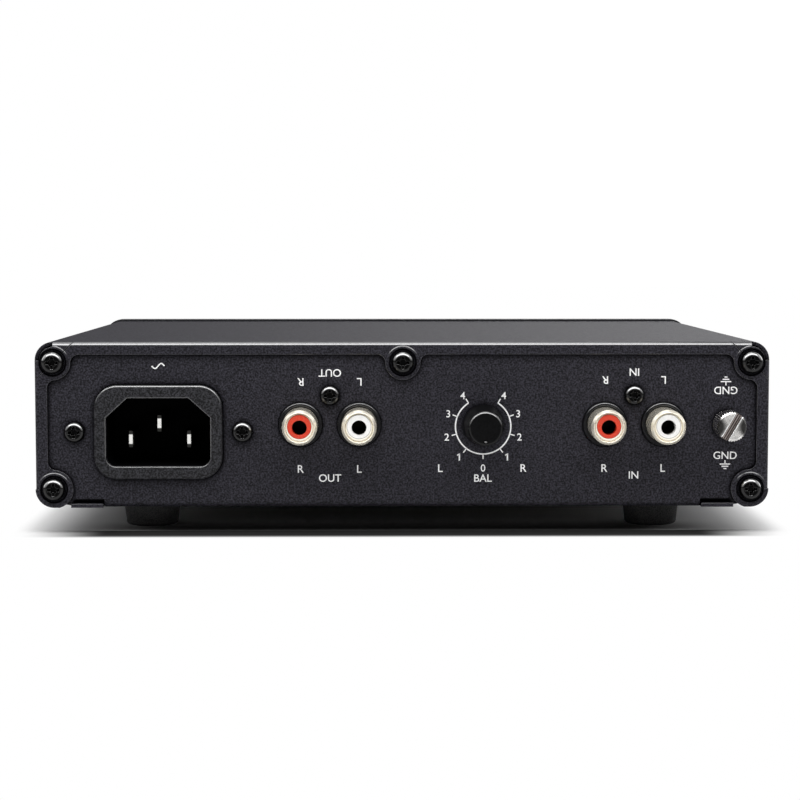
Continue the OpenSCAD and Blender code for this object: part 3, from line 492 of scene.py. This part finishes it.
def powder_coat(look):
    """Fine textured black powder coat: its grain is in colour, gloss and relief. Along the upper
    fold and the cut edges the coat is drawn thin and smooth, and shines. A shallow step is
    pressed into the sheet round each cover screw, and shines above it. Corners and the angles
    between parts get painted shade, a near-black matt colour."""
    grain_depth, step_depth, edge_radius, crease = 0.07 * MM, 0.16 * MM, 0.20 * MM, 1.5 * MM
    step_limits = (3.72 * MM, 4.06 * MM)
    ring_limits = (3.68 * MM, 3.74 * MM, 4.04 * MM, 4.1 * MM)
    f = Finish("powder coat")
    base = tuple(look.coat)
    coarse = f.noise(f.place, look.grain * 2.4)
    grain = f.noise(f.place, look.grain, 3.0) * 0.86 + coarse * 0.14
    x, y, z = f.axes(f.place)
    side, top, low = CASE_HIGH.x - SCREW_SIDE, CASE_HIGH.z - SCREW_TOP, CASE_LOW.z + SCREW_LOW
    reach = f.around(abs(x), z, (side, top), (side, low), (0.0, top))
    rear = f.fade(y, CASE_LOW.y + 0.2 * MM, CASE_LOW.y + 0.3 * MM)
    step = f.fade(reach, *step_limits) * rear
    rounded = f.rounded(edge_radius)
    pressed = f.relief(step, step_depth, rounded)
    f.set(Base_Color=f.mottled(base, (0.27, 2.1), grain, (0.36, 0.66)), Specular_IOR_Level=0.13,
          Roughness=0.42 + coarse * 0.16, Normal=f.relief(grain, grain_depth, pressed))
    halfway = (top + low) / 2
    above_screw = z - low - (top - low) * f.ramp(z, halfway - MM, halfway + MM)
    ring = f.band(reach, *ring_limits) * rear * f.ramp(above_screw, 1.2 * MM, 3.2 * MM)
    shine = f.shoulders(upper=True).highest(f.edges(rounded) * 0.6).highest(ring * 0.5)
    f.overlay(shine * (0.72 + 0.5 * coarse), Base_Color=base, Roughness=0.15, IOR=POLISH,
              Normal=pressed)
    # Painted shade: near-black, matt colour laid into corners and the angles between parts
    f.overlay(f.crease_shade(crease), Base_Color=tinted(base, 0.08), Roughness=0.8,
              Specular_IOR_Level=0.0)
    return f.material


def black_finish(name, base, rough, grain, depth, level=0.3, rounding=0.12 * MM, edge=0.0,
                 shoulder=0.0, crown=0.0, gloss=POLISH):
    """Moulded or blackened surface with a faint grain. How far it is polished is given as edge
    for sharp edges, shoulder for roundings and crown for those that look up."""
    f = Finish(name)
    noise = f.noise(f.place, grain, 3.0)
    cloud = f.noise(f.place, grain * 12, 1.0)
    rounded = f.rounded(rounding)
    tone = f.mottled(base, (0.65, 1.5), cloud * 0.2 + noise * 0.8, (0.32, 0.68))
    f.set(Base_Color=tone, Specular_IOR_Level=level, Roughness=rough + (noise - 0.5) * 0.12,
          Normal=f.relief(noise, depth, rounded))
    if edge or shoulder:
        shine = (f.edges(rounded) * edge).highest(f.shoulders(start=0.3) * shoulder)
        shine = shine.highest(f.shoulders(upper=True, start=0.3) * crown)
        f.overlay(shine, Base_Color=base, Roughness=0.12, IOR=gloss, Normal=rounded)
    return f.material


def metal(name, base, rough, grain, depth, rounding=0.08 * MM, samples=6, metallic=1.0):
    """Plated metal with a fine grain, whose tone and gloss drift a little."""
    f = Finish(name)
    noise = f.noise(f.place, grain, 3.0)
    cloud = f.noise(f.place, grain * 10, 1.0)
    f.set(Base_Color=f.mottled(base, (1.0, 0.9), cloud, (0.3, 0.7)), Metallic=metallic,
          Roughness=rough + (cloud - 0.5) * 0.1,
          Normal=f.relief(noise, depth, f.rounded(rounding, samples)))
    return f.material


def turned_metal(name, base, rough, axis, ring):
    """Plated screw, turned on a lathe about an axis along Y. Rings of tool marks run round its
    face, which is darkened to either side as a painted reflection. Painted highlights line the
    edges of the slot, and its floor is brushed lengthwise and dull. Shallow cuts run round the
    knurled flank."""
    knurl_pitch, knurl_depth, ring_depth = 0.66 * MM, 0.05 * MM, ring * 0.035
    brush_scale, furrow, ridge = 620.0, (0.05, 0.042, 0.04), (0.45, 0.39, 0.37)
    f = Finish(name)
    x, y, z = f.axes(f.place)
    depth = y - GROUND_TIP
    flank = f.ramp(depth, 0.7 * MM, 0.8 * MM)
    radius = f.around(x, z, (axis.x, axis.z))
    drift = f.noise(f.place, 0.6 * MM)
    marks = (radius * (2 * math.pi / ring) + drift * 3.0).sine()
    across = abs((x - axis.x) * math.sin(SLOT_ANGLE) - (z - axis.z) * math.cos(SLOT_ANGLE))
    slot = f.band(depth, 0.3 * MM, 1.3 * MM, 1.65 * MM, 1.7 * MM)
    slot = slot * f.fade(across, 0.78 * MM, 0.86 * MM)
    # Painted highlight: pale lines along both edges of the slot
    lip_highlight = f.band(across, 0.80 * MM, 0.84 * MM, 1.02 * MM, 1.1 * MM) * (1.0 - flank)
    # Painted reflection: the face darkens to either side of the axis, standing for a turned face's
    # sheen
    painted_dark_sectors = f.ramp(abs(x - axis.x) - radius * 0.62, 0.0, 0.9 * MM) * (1.0 - flank)
    cloud = f.noise(f.place, 2.5 * MM)
    plate = f.mottled(base, (1.0, 0.78), cloud, (0.35, 0.7))
    plate = f.mixed(painted_dark_sectors, plate, tinted(base, 0.04))
    plate = f.mixed(lip_highlight, plate, tinted(base, 1.2))
    brushed = f.node("ShaderNodeTexWave", {"bands_direction": "X"}, out="Fac",
                     Vector=f.combined(across, drift * MM, 0.0), Scale=brush_scale,
                     Distortion=1.0)
    groove = f.mixed(f.ramp(brushed, 0.2, 0.8), furrow, ridge)
    turned = f.relief(marks * (1.0 - slot) * (1.0 - flank), ring_depth, f.rounded(0.12 * MM))
    cuts = (y * (2 * math.pi / knurl_pitch)).sine() * flank
    f.set(Base_Color=f.mixed(slot, plate, groove), Metallic=1.0,
          Roughness=rough + cloud * 0.1 + slot * 0.25,
          Normal=f.relief(cuts, knurl_depth, turned))
    return f.material


def plastic(name, base, rough, grain):
    """Coloured plastic with a faint mould texture."""
    f = Finish(name)
    noise = f.noise(f.place, grain)
    f.set(Base_Color=f.mottled(base, (1.0, 0.9), noise, (0.3, 0.8)),
          Roughness=rough + (noise - 0.5) * 0.08,
          Normal=f.relief(noise, 0.01 * MM, f.rounded(0.1 * MM)))
    return f.material


def insulator(name, base, axis):
    """Coloured plastic washer in a jack. A ring of painted shade lies just inside its rim, and its
    outermost ring is painted the pale colour of the shell's lit rolled edge as a painted
    highlight, a little more of it at the bottom."""
    lip_highlight, lip_rise = (0.95, 0.90, 0.78), 0.26 * MM
    f = Finish(name)
    x, _, z = f.axes(f.place)
    noise = f.noise(f.place, 0.6 * MM)
    reach = f.around(x, z, (axis.x, axis.z + lip_rise))
    skin = f.mottled(base, (1.0, 0.9), noise, (0.3, 0.8))
    # Painted shade: a darker ring just inside the washer's rim. Painted highlight: its outermost
    # ring takes the pale colour of the shell's lit rolled edge, wider at the bottom
    skin = f.mixed(f.ramp(reach, 2.72 * MM, 2.80 * MM), skin, tinted(base, 0.4))
    skin = f.mixed(f.ramp(reach, 2.86 * MM, 2.92 * MM), skin, lip_highlight)
    f.set(Base_Color=skin, Specular_IOR_Level=0.45, Roughness=0.28 + (noise - 0.5) * 0.08,
          Normal=f.relief(noise, 0.008 * MM, f.rounded(0.35 * MM)))
    return f.material


def jack_moulding(base):
    """Black moulding of the jack blocks. Round each jack the upper halves of two thin ridges on
    the collar's face are polished."""
    f = Finish("jack moulding")
    x, y, z = f.axes(f.place)
    noise = f.noise(f.place, 0.35 * MM, 3.0)
    reach = f.around(x, z, *((jack, SHAFT.z) for jack in (*OUTPUTS, *INPUTS)))
    outer = f.ramp(reach, 4.98 * MM, 5.04 * MM)
    inner = f.band(reach, 4.52 * MM, 4.56 * MM, 4.64 * MM, 4.68 * MM)
    upper = f.ramp(z - SHAFT.z, 2.2 * MM, 4.6 * MM)
    outside = f.fade(y, PANEL_Y - 0.1 * MM, PANEL_Y)
    rounded = f.rounded(0.25 * MM)
    f.set(Base_Color=f.mottled(base, (0.65, 1.5), noise, (0.32, 0.68)), Specular_IOR_Level=0.12,
          Roughness=0.3 + (noise - 0.5) * 0.12, Normal=f.relief(noise, 0.006 * MM, rounded))
    f.overlay((outer + inner * 0.6) * upper * outside, Base_Color=base, Roughness=0.2,
              IOR=POLISH, Normal=rounded)
    return f.material


def inlet_moulding(look):
    """Black moulding, grained on the collar with a polished rim, and darkened with painted shade
    in the hollow that takes the plug."""
    f = Finish("inlet moulding")
    base = tuple(look.moulding)
    grain = f.noise(f.place, 0.4 * MM, 3.0)
    _, y, _ = f.axes(f.place)
    recess_shade = f.ramp(y - COLLAR_Y, 0.7 * MM, 3.0 * MM)
    rounded = f.rounded(0.5 * MM)
    f.set(Base_Color=f.mottled(base, (0.2, 2.7), grain, (0.35, 0.68)), Specular_IOR_Level=0.19,
          Roughness=0.45, Normal=f.relief(grain, 0.08 * MM, rounded))
    f.overlay(f.edges(rounded).highest(f.shoulders(upper=True)), Base_Color=base,
              Roughness=0.15, IOR=POLISH, Normal=rounded)
    # Painted shade: the moulding turns near-black and matt deeper in the hollow
    f.overlay(recess_shade, Base_Color=tinted(base, 0.1), Roughness=0.6, Specular_IOR_Level=0.02)
    return f.material


def pin_plate(middles):
    """Tin-plated pins, darkened by painted shade but for the flat of each tip, whose middle is
    given as (x, z).
    """
    pin_shade, tin = (0.03, 0.03, 0.028), (0.92, 0.91, 0.88)
    f = Finish("pin plate")
    x, _, z = f.axes(f.place)
    tips = 0.0
    for across, up in middles:
        flat = f.fade(abs(x - across), 0.42 * MM, 0.55 * MM)
        tips = tips + flat * f.fade(abs(z - up), 1.0 * MM, 1.25 * MM)
    cloud = f.noise(f.place, 1.2 * MM)
    # Painted shade: the pins are near-black but for the flat of each tip
    f.set(Base_Color=f.mixed(tips, pin_shade, tin), Metallic=1.0,
          Roughness=0.12 + cloud * 0.12, Normal=f.rounded(0.3 * MM))
    return f.material


def ink_finish(look, share=1.0):
    """Screen-printed ink, slightly uneven in tone; share darkens it."""
    f = Finish("printed ink")
    base = tinted(look.ink_colour, share)
    noise = f.noise(f.place, 0.25 * MM)
    f.set(Base_Color=f.mottled(base, (1.0, 0.84), noise, (0.3, 0.75)), Specular_IOR_Level=0.3,
          Roughness=0.55 + noise * 0.1, Normal=f.relief(noise, 0.004 * MM))
    return f.material


# ---- Operators ----------------------------------------------------------------------------

class PREAMP_OT_case(bpy.types.Operator):
    """Finishes the folded case, its screws and its feet"""
    bl_idname = "preamp.case"
    bl_label = "Case"

    def execute(self, context):
        look = context.scene.preamp_finish
        assign(powder_coat(look), "cover", "chassis")
        assign(black_finish("fascia satin", tuple(look.fascia), rough=0.4, grain=0.4 * MM,
                            depth=0.01 * MM, level=0.4, rounding=0.2 * MM, edge=0.5),
               "front_fascia")
        assign(black_finish("black oxide", tuple(look.oxide), rough=0.2, grain=0.5 * MM,
                            depth=0.004 * MM, level=0.04, edge=0.35, shoulder=0.12, crown=1.0,
                            gloss=3.2),
               "cover_screws", "inlet_screws", "jack_screws", "foot_screws")
        assign(black_finish("foot rubber", tuple(look.rubber), rough=0.8, grain=0.3 * MM,
                            depth=0.03 * MM, level=0.08),
               "rubber_feet")
        return {"FINISHED"}


class PREAMP_OT_sockets(bpy.types.Operator):
    """Finishes the mains inlet, the phono jacks and the ground terminal"""
    bl_idname = "preamp.sockets"
    bl_label = "Sockets"

    def execute(self, context):
        look = context.scene.preamp_finish
        assign(inlet_moulding(look), "inlet_body")
        assign(jack_moulding(tinted(look.moulding, 0.6)),
               "output_jack_block", "input_jack_block", "led_holder")
        assign(pin_plate(self.pin_middles()), "inlet_live_pins", "inlet_earth_pin")
        shells = [node for node in NODES if node.endswith("_shell")]
        assign(metal("gold plate", tuple(look.gold), rough=0.26, grain=0.8 * MM,
                     depth=0.0003 * MM, rounding=0.3 * MM, samples=16, metallic=0.72), *shells)
        # Painted shade: the contacts deep in the jacks are coloured near-black
        assign(metal("contact bronze in painted shade", (0.03, 0.025, 0.02), rough=0.5, grain=0.5 * MM,
                     depth=0.002 * MM), "jack_contacts")
        for side, base in (("right", look.red), ("left", look.white)):
            for pair in ("output", "input"):
                node = pair + "_" + side + "_insulator"
                assign(insulator(node.replace("_", " "), tuple(base), middle(node)), node)
        assign(turned_metal("nickel plate", tuple(look.nickel), rough=0.12, axis=GROUND,
                            ring=0.24 * MM),
               "ground_screw", "ground_washer")
        return {"FINISHED"}

    def pin_middles(self):
        """Middles of the inlet's three pins. The live pins are one node, 2 mm wide each."""
        pin_half = MM
        low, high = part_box("inlet_live_pins")
        live_z = (low[2] + high[2]) / 2
        earth = middle("inlet_earth_pin")
        return [(low[0] + pin_half, live_z), (high[0] - pin_half, live_z), (earth.x, earth.z)]


class PREAMP_OT_controls(bpy.types.Operator):
    """Finishes the balance knob, the power button and the status light"""
    bl_idname = "preamp.controls"
    bl_label = "Controls"

    def execute(self, context):
        look = context.scene.preamp_finish
        assign(black_finish("knob plastic", tuple(look.knob), rough=0.45, grain=0.4 * MM,
                            depth=0.006 * MM, level=0.06, rounding=0.2 * MM, shoulder=0.1,
                            crown=1.0, gloss=2.3),
               "balance_knob", "power_button")
        assign(metal("bright steel", (0.6, 0.6, 0.6), rough=0.3, grain=0.4 * MM,
                     depth=0.005 * MM),
               "balance_shaft", "balance_pot", "fascia_screws", "inlet_nuts", "ground_insert",
               "standoffs", "board_screws", "earth_stud", "earth_nut", "fuse_clips")
        assign(plastic("light pipe", (0.75, 0.8, 0.9), 0.12, 0.8 * MM),
               "light_pipe", "status_led")
        assign(plastic("natural nylon", (0.7, 0.68, 0.6), 0.5, 0.6 * MM),
               "button_rod", "mains_header")
        self.dot(context.scene.preamp_print)
        return {"FINISHED"}

    def dot(self, look):
        """A drop of ink in the dimple of the knob's face: a flattened half ball whose rings
        shrink with the cosine of their height."""
        half_width, half_height, bulge = 0.34 * MM, 0.2 * MM, 0.26 * MM
        below_rim, dimple_floor = 0.3 * MM, KNOB_FACE + 0.31 * MM
        rings, corners = 5, 20
        points = vertex_places(NODES["balance_knob"].data)
        tip = points[points[:, 1] < KNOB_FACE + 0.01 * MM]
        tip_r = np.abs(tip[:, 0] - SHAFT.x).max()
        centre = (SHAFT.x, SHAFT.z - tip_r + below_rim)
        rise = np.linspace(0.0, 0.5 * math.pi, rings, endpoint=False)[:, None]
        turn = np.linspace(0.0, 2 * math.pi, corners, endpoint=False)[None, :]
        rows = np.stack([centre[0] + half_width * np.cos(rise) * np.cos(turn),
                         dimple_floor - bulge * np.sin(rise) + 0.0 * turn,
                         centre[1] + half_height * np.cos(rise) * np.sin(turn)], axis=-1)
        mesh = joined_mesh("knob_dot", [tube_part(rows)])
        new_piece("knob_dot", mesh, ink_finish(look, share=0.4), "balance")


class PREAMP_OT_board(bpy.types.Operator):
    """Finishes what stands on the circuit board"""
    bl_idname = "preamp.board"
    bl_label = "Board"

    def execute(self, context):
        assign(plastic("board laminate", (0.02, 0.13, 0.05), 0.4, 2 * MM), "main_board")
        assign(plastic("brown insulation", (0.18, 0.07, 0.03), 0.45, MM), "mains_leads")
        assign(plastic("green and yellow insulation", (0.3, 0.5, 0.04), 0.45, 2 * MM),
               "earth_lead")
        assign(plastic("fuse glass", (0.7, 0.72, 0.7), 0.1, MM), "fuse")
        assign(plastic("capacitor case", (0.65, 0.42, 0.05), 0.4, MM), "suppression_capacitor")
        assign(plastic("winding", (0.4, 0.15, 0.04), 0.35, 0.5 * MM), "line_choke")
        assign(black_finish("moulded epoxy", (0.02, 0.02, 0.021), rough=0.6, grain=0.3 * MM,
                            depth=0.01 * MM),
               "bridge_rectifier", "regulators", "amplifier_chips", "power_switch",
               "muting_relay")
        assign(plastic("capacitor sleeve", (0.012, 0.016, 0.05), 0.3, MM),
               "bulk_capacitor", "smoothing_capacitors", "coupling_capacitors")
        assign(plastic("transformer tape", (0.6, 0.45, 0.1), 0.4, MM), "switching_transformer")
        assign(metal("extruded aluminium", (0.6, 0.6, 0.61), rough=0.4, grain=0.4 * MM,
                     depth=0.01 * MM), "heatsinks")
        assign(plastic("red film capacitor", (0.35, 0.03, 0.03), 0.35, MM), "film_capacitors")
        assign(plastic("resistor lacquer", (0.5, 0.36, 0.2), 0.4, 0.8 * MM), "resistors")
        return {"FINISHED"}


class PREAMP_OT_dial(bpy.types.Operator):
    """Prints the balance dial: its arc, ticks and numbers"""
    bl_idname = "preamp.dial"
    bl_label = "Dial"

    def execute(self, context):
        look = context.scene.preamp_print
        finish = ink_finish(look)
        new_piece("dial_scale", joined_mesh("dial_scale", self.scale(look)), finish, "case")
        new_piece("dial_numbers", joined_mesh("dial_numbers", self.numbers(look)), finish,
                  "case")
        return {"FINISHED"}

    def scale(self, look):
        """The arc, and four ticks to either side of the one at its bottom."""
        centre = (SHAFT.x, SHAFT.z - look.arc_drop)
        lines = [stroke(arc_path(centre, look.arc_radius, -look.arc_end, look.arc_end, 145),
                        look.stroke, look.ink)]
        for place in range(-4, 5):
            turn = place * look.arc_end / 4
            ends = [look.arc_radius, look.arc_radius + look.tick]
            path = [arc_path(centre, reach, turn, turn, 1)[0] for reach in ends]
            lines.append(stroke(path, look.stroke * 0.85, look.ink))
        return lines

    def numbers(self, look):
        parts = []
        for text, (across, up) in DIAL_NUMBERS.items():
            for side in ((-1, 1) if across else (1,)):
                x, z = SHAFT.x + side * across * MM, SHAFT.z + up * MM
                if text == "1":
                    parts += self.one(look, x, z)
                else:
                    parts.append(label(text, x, z, look.digit, look))
        return parts

    def one(self, look, x, z):
        """The number one: an upright stroke with a short flag that falls to its left."""
        half, width = look.digit / 2, look.digit * 0.2
        stem_x = x + 0.05 * look.digit
        flag = [(x - 0.26 * look.digit, z + 0.24 * look.digit),
                (x + 0.06 * look.digit, z + half - width * 0.4)]
        return [stroke([(stem_x, z - half), (stem_x, z + half)], width, look.ink),
                stroke(flag, width * 0.8, look.ink)]


class PREAMP_OT_lettering(bpy.types.Operator):
    """Prints the channel letters, the short words and the two signs on the rear panel"""
    bl_idname = "preamp.lettering"
    bl_label = "Lettering"

    def execute(self, context):
        look = context.scene.preamp_print
        finish = ink_finish(look)
        for name, parts in (("channel_letters", self.letters(look)),
                            ("short_words", self.words(look)),
                            ("panel_signs", self.signs(look))):
            new_piece(name, joined_mesh(name, parts), finish, "case")
        return {"FINISHED"}

    def both_ways(self, text, x, low, high, height, look):
        """A text under a socket, and again over it, standing on its head."""
        return [label(text, x, SHAFT.z + low * MM, height, look),
                label(text, x, SHAFT.z + high * MM, height, look, upset=True)]

    def letters(self, look):
        """L and R beside the dial and at each jack."""
        parts = [label(text, SHAFT.x + across * MM, SHAFT.z + DIAL_LETTERS_UP * MM, look.letter,
                       look) for text, across in DIAL_LETTERS.items()]
        for pair, low, high in JACK_LETTERS:
            for text, x in zip("RL", pair):
                parts += self.both_ways(text, x, low, high, look.letter, look)
        return parts

    def words(self, look):
        parts = [label("BAL", SHAFT.x, SHAFT.z + DIAL_WORD_UP * MM, look.word, look)]
        for text, x, low, high in WORDS:
            parts += self.both_ways(text, x, low, high, look.word, look)
        return parts

    def signs(self, look):
        """The earth sign by the ground screw, three bars that shorten away from a stem, and the
        sign of alternating current over the inlet, one wave of a sine."""
        line, wave_line = 0.26 * MM, 0.3 * MM
        bars = ((-0.3, 1.25), (0.25, 0.8), (0.8, 0.35))
        stem = (-1.2, -0.3)
        parts = []
        for up, way in EARTH_SIGNS:
            z = SHAFT.z + up * MM
            for drop, half in bars:
                level = z + way * drop * MM
                ends = [(GROUND_X - half * MM, level), (GROUND_X + half * MM, level)]
                parts.append(stroke(ends, line, look.ink))
            parts.append(stroke([(GROUND_X, z + way * end * MM) for end in stem], line,
                                look.ink))
        half_wave, swing, wave_z = 1.5 * MM, 0.6 * MM, CASE_LOW.z + 33.84 * MM
        run = np.linspace(-1.0, 1.0, 41)
        wave = np.stack([INLET.x + run * half_wave, wave_z + swing * np.sin(run * math.pi)],
                        axis=1)
        parts.append(stroke(wave, wave_line, look.ink))
        return parts


class PREAMP_OT_stage(bpy.types.Operator):
    """Makes the floor, the light and the camera"""
    bl_idname = "preamp.stage"
    bl_label = "Stage"

    def execute(self, context):
        studio = context.scene.preamp_studio
        self.world(context)
        self.floor(studio)
        self.softbox("key softbox", place=(-0.05, -0.5, 0.78), aim=(0, -0.02, 0.02),
                     size=(1.7, 0.5), radiance=studio.key)
        self.softbox("overhead softbox", place=(-0.05, 0.0, 0.9), aim=(0, 0, 0.02),
                     size=(0.95, 0.5), radiance=studio.overhead)
        self.camera(context, studio)
        context.scene.view_settings.view_transform = "Standard"
        return {"FINISHED"}

    def world(self, context):
        """White for the camera. The light that it gives is bright low down beyond the fascia
        and to the sides, more so on the right, and dim elsewhere; metal also shows a pale tent
        overhead."""
        world = bpy.data.worlds.new("studio")
        context.scene.world = world
        world.use_nodes = True
        g = Graph(world.node_tree)
        x, y, z = g.axes(g.node("ShaderNodeTexCoord", out="Generated"))
        room_level, beyond_level, tent_level = 0.04, 1.904, 0.53
        beyond = g.ramp(y, -0.1, 0.6) * g.fade(z, 0.18, 0.55) * g.ramp(x, -0.17, 0.27)
        sides = g.ramp(abs(x), 0.45, 0.85) * g.band(z, 0.02, 0.2, 0.6, 0.85)
        side_level = 0.68 + 1.3 * g.ramp(y, 0.0, 0.3)
        tent = g.ramp(z, 0.3, 0.5) * g.path_is("Is Glossy Ray")
        lamp = room_level + beyond_level * beyond + side_level * sides + tent_level * tent
        back = g.node("ShaderNodeBackground", Color=(1.0, 1.0, 1.0),
                      Strength=g.path_is("Is Camera Ray").highest(lamp))
        output = g.tree.nodes.new("ShaderNodeOutputWorld")
        g.tree.links.new(back.socket, output.inputs["Surface"])

    def floor(self, studio):
        """A flat sheet at the height of the feet's soles."""
        half = 3.0
        corners = [(-half, -half, 0.0), (half, -half, 0.0), (half, half, 0.0),
                   (-half, half, 0.0)]
        mesh = bpy.data.meshes.new("floor")
        mesh.from_pydata(corners, [], [(0, 1, 2, 3)])
        new_piece("floor", mesh, self.paper(studio), None)

    def paper(self, studio):
        """White paper with a painted shadow: its colour is darkened under the middle of the case
        and along its rear edge so that the shadow stays deep there, and it runs out into plain
        white."""
        f = Finish("floor paper")
        x, y, _ = f.axes(f.place)
        half = (CASE_HIGH - CASE_LOW) / 2
        over_x, over_y = abs(x) - half.x, abs(y) - half.y
        outside = f.around(over_x.highest(0.0), over_y.highest(0.0), (0.0, 0.0))
        # Painted shadow: the paper's colour is darkened under the case and along its rear edge
        rim = f.ramp(over_y, -9 * MM, -7 * MM) * f.fade(over_x, -16.8 * MM, 4 * MM)
        deep = f.ramp(over_y, -26 * MM, -12 * MM) * f.fade(over_x, -34 * MM, -2 * MM) * 0.9
        shade = rim.highest(deep) * f.fade(over_y, 2.6 * MM, 4.3 * MM)
        f.set(Base_Color=f.mixed(shade, tuple(studio.floor), tinted(studio.floor, 0.03)),
              Roughness=0.9, Specular_IOR_Level=0.0)
        seen = f.path_is("Is Camera Ray") * f.ramp(outside, 0.0, 7 * MM)
        mirrored = f.path_is("Is Glossy Ray", "Is Transmission Ray") * f.ramp(outside, 0.0, MM)
        white = f.node("ShaderNodeEmission", Color=(1.0, 1.0, 1.0), Strength=1.0)
        f.show(f.node("ShaderNodeMixShader", _0=seen.highest(mirrored), _1=f.surface,
                      _2=white))
        return f.material

    def softbox(self, name, place, aim, size, radiance):
        """A flat rectangular lamp, as bright everywhere on its face as radiance says."""
        data = bpy.data.lights.new(name, "AREA")
        data.shape = "RECTANGLE"
        data.size, data.size_y = size
        data.energy = radiance * math.pi * size[0] * size[1]
        lamp = bpy.data.objects.new(name, data)
        bpy.context.scene.collection.objects.link(lamp)
        turn = (Vector(aim) - Vector(place)).to_track_quat("-Z", "Y").to_matrix().to_4x4()
        lamp.matrix_world = Matrix.Translation(place) @ turn

    def camera(self, context, studio):
        """Stands behind the case, turned by the yaw and then tilted down by the pitch."""
        data = bpy.data.cameras.new("camera")
        data.lens = studio.lens
        data.sensor_width = 36.0
        data.clip_start = 0.01
        camera = bpy.data.objects.new("camera", data)
        context.scene.collection.objects.link(camera)
        yaw = Matrix.Rotation(-studio.yaw, 4, "Z")
        tilt = Matrix.Rotation(math.pi / 2 - studio.pitch, 4, "X")
        place = Vector((studio.camera_x, CASE_LOW.y - studio.distance,
                        CASE_LOW.z + studio.camera_up))
        turn = yaw @ tilt
        camera.matrix_world = Matrix.Translation(place) @ turn
        context.scene.camera = camera


# ---- Panel and registration ---------------------------------------------------------------

OPERATORS = (PREAMP_OT_case, PREAMP_OT_sockets, PREAMP_OT_controls, PREAMP_OT_board,
             PREAMP_OT_dial, PREAMP_OT_lettering, PREAMP_OT_stage)
SETTINGS = {"preamp_print": PrintSettings, "preamp_finish": FinishSettings,
            "preamp_studio": StudioSettings}


class PREAMP_PT_panel(bpy.types.Panel):
    """Lists the operators that dress the preamplifier"""
    bl_label = "Phono preamplifier"
    bl_space_type = "VIEW_3D"
    bl_region_type = "UI"
    bl_category = "Preamp"

    def draw(self, context):
        for operator in OPERATORS:
            self.layout.operator(operator.bl_idname)


def register():
    for name, group in SETTINGS.items():
        bpy.utils.register_class(group)
        setattr(bpy.types.Scene, name, PointerProperty(type=group))
    for cls in (*OPERATORS, PREAMP_PT_panel):
        bpy.utils.register_class(cls)


def unregister():
    for cls in (PREAMP_PT_panel, *reversed(OPERATORS)):
        bpy.utils.unregister_class(cls)
    for name, group in SETTINGS.items():
        delattr(bpy.types.Scene, name)
        bpy.utils.unregister_class(group)


def main():
    register()
    for operator in OPERATORS:
        group, name = operator.bl_idname.split(".")
        getattr(getattr(bpy.ops, group), name)()


if __name__ == "__main__":
    main()
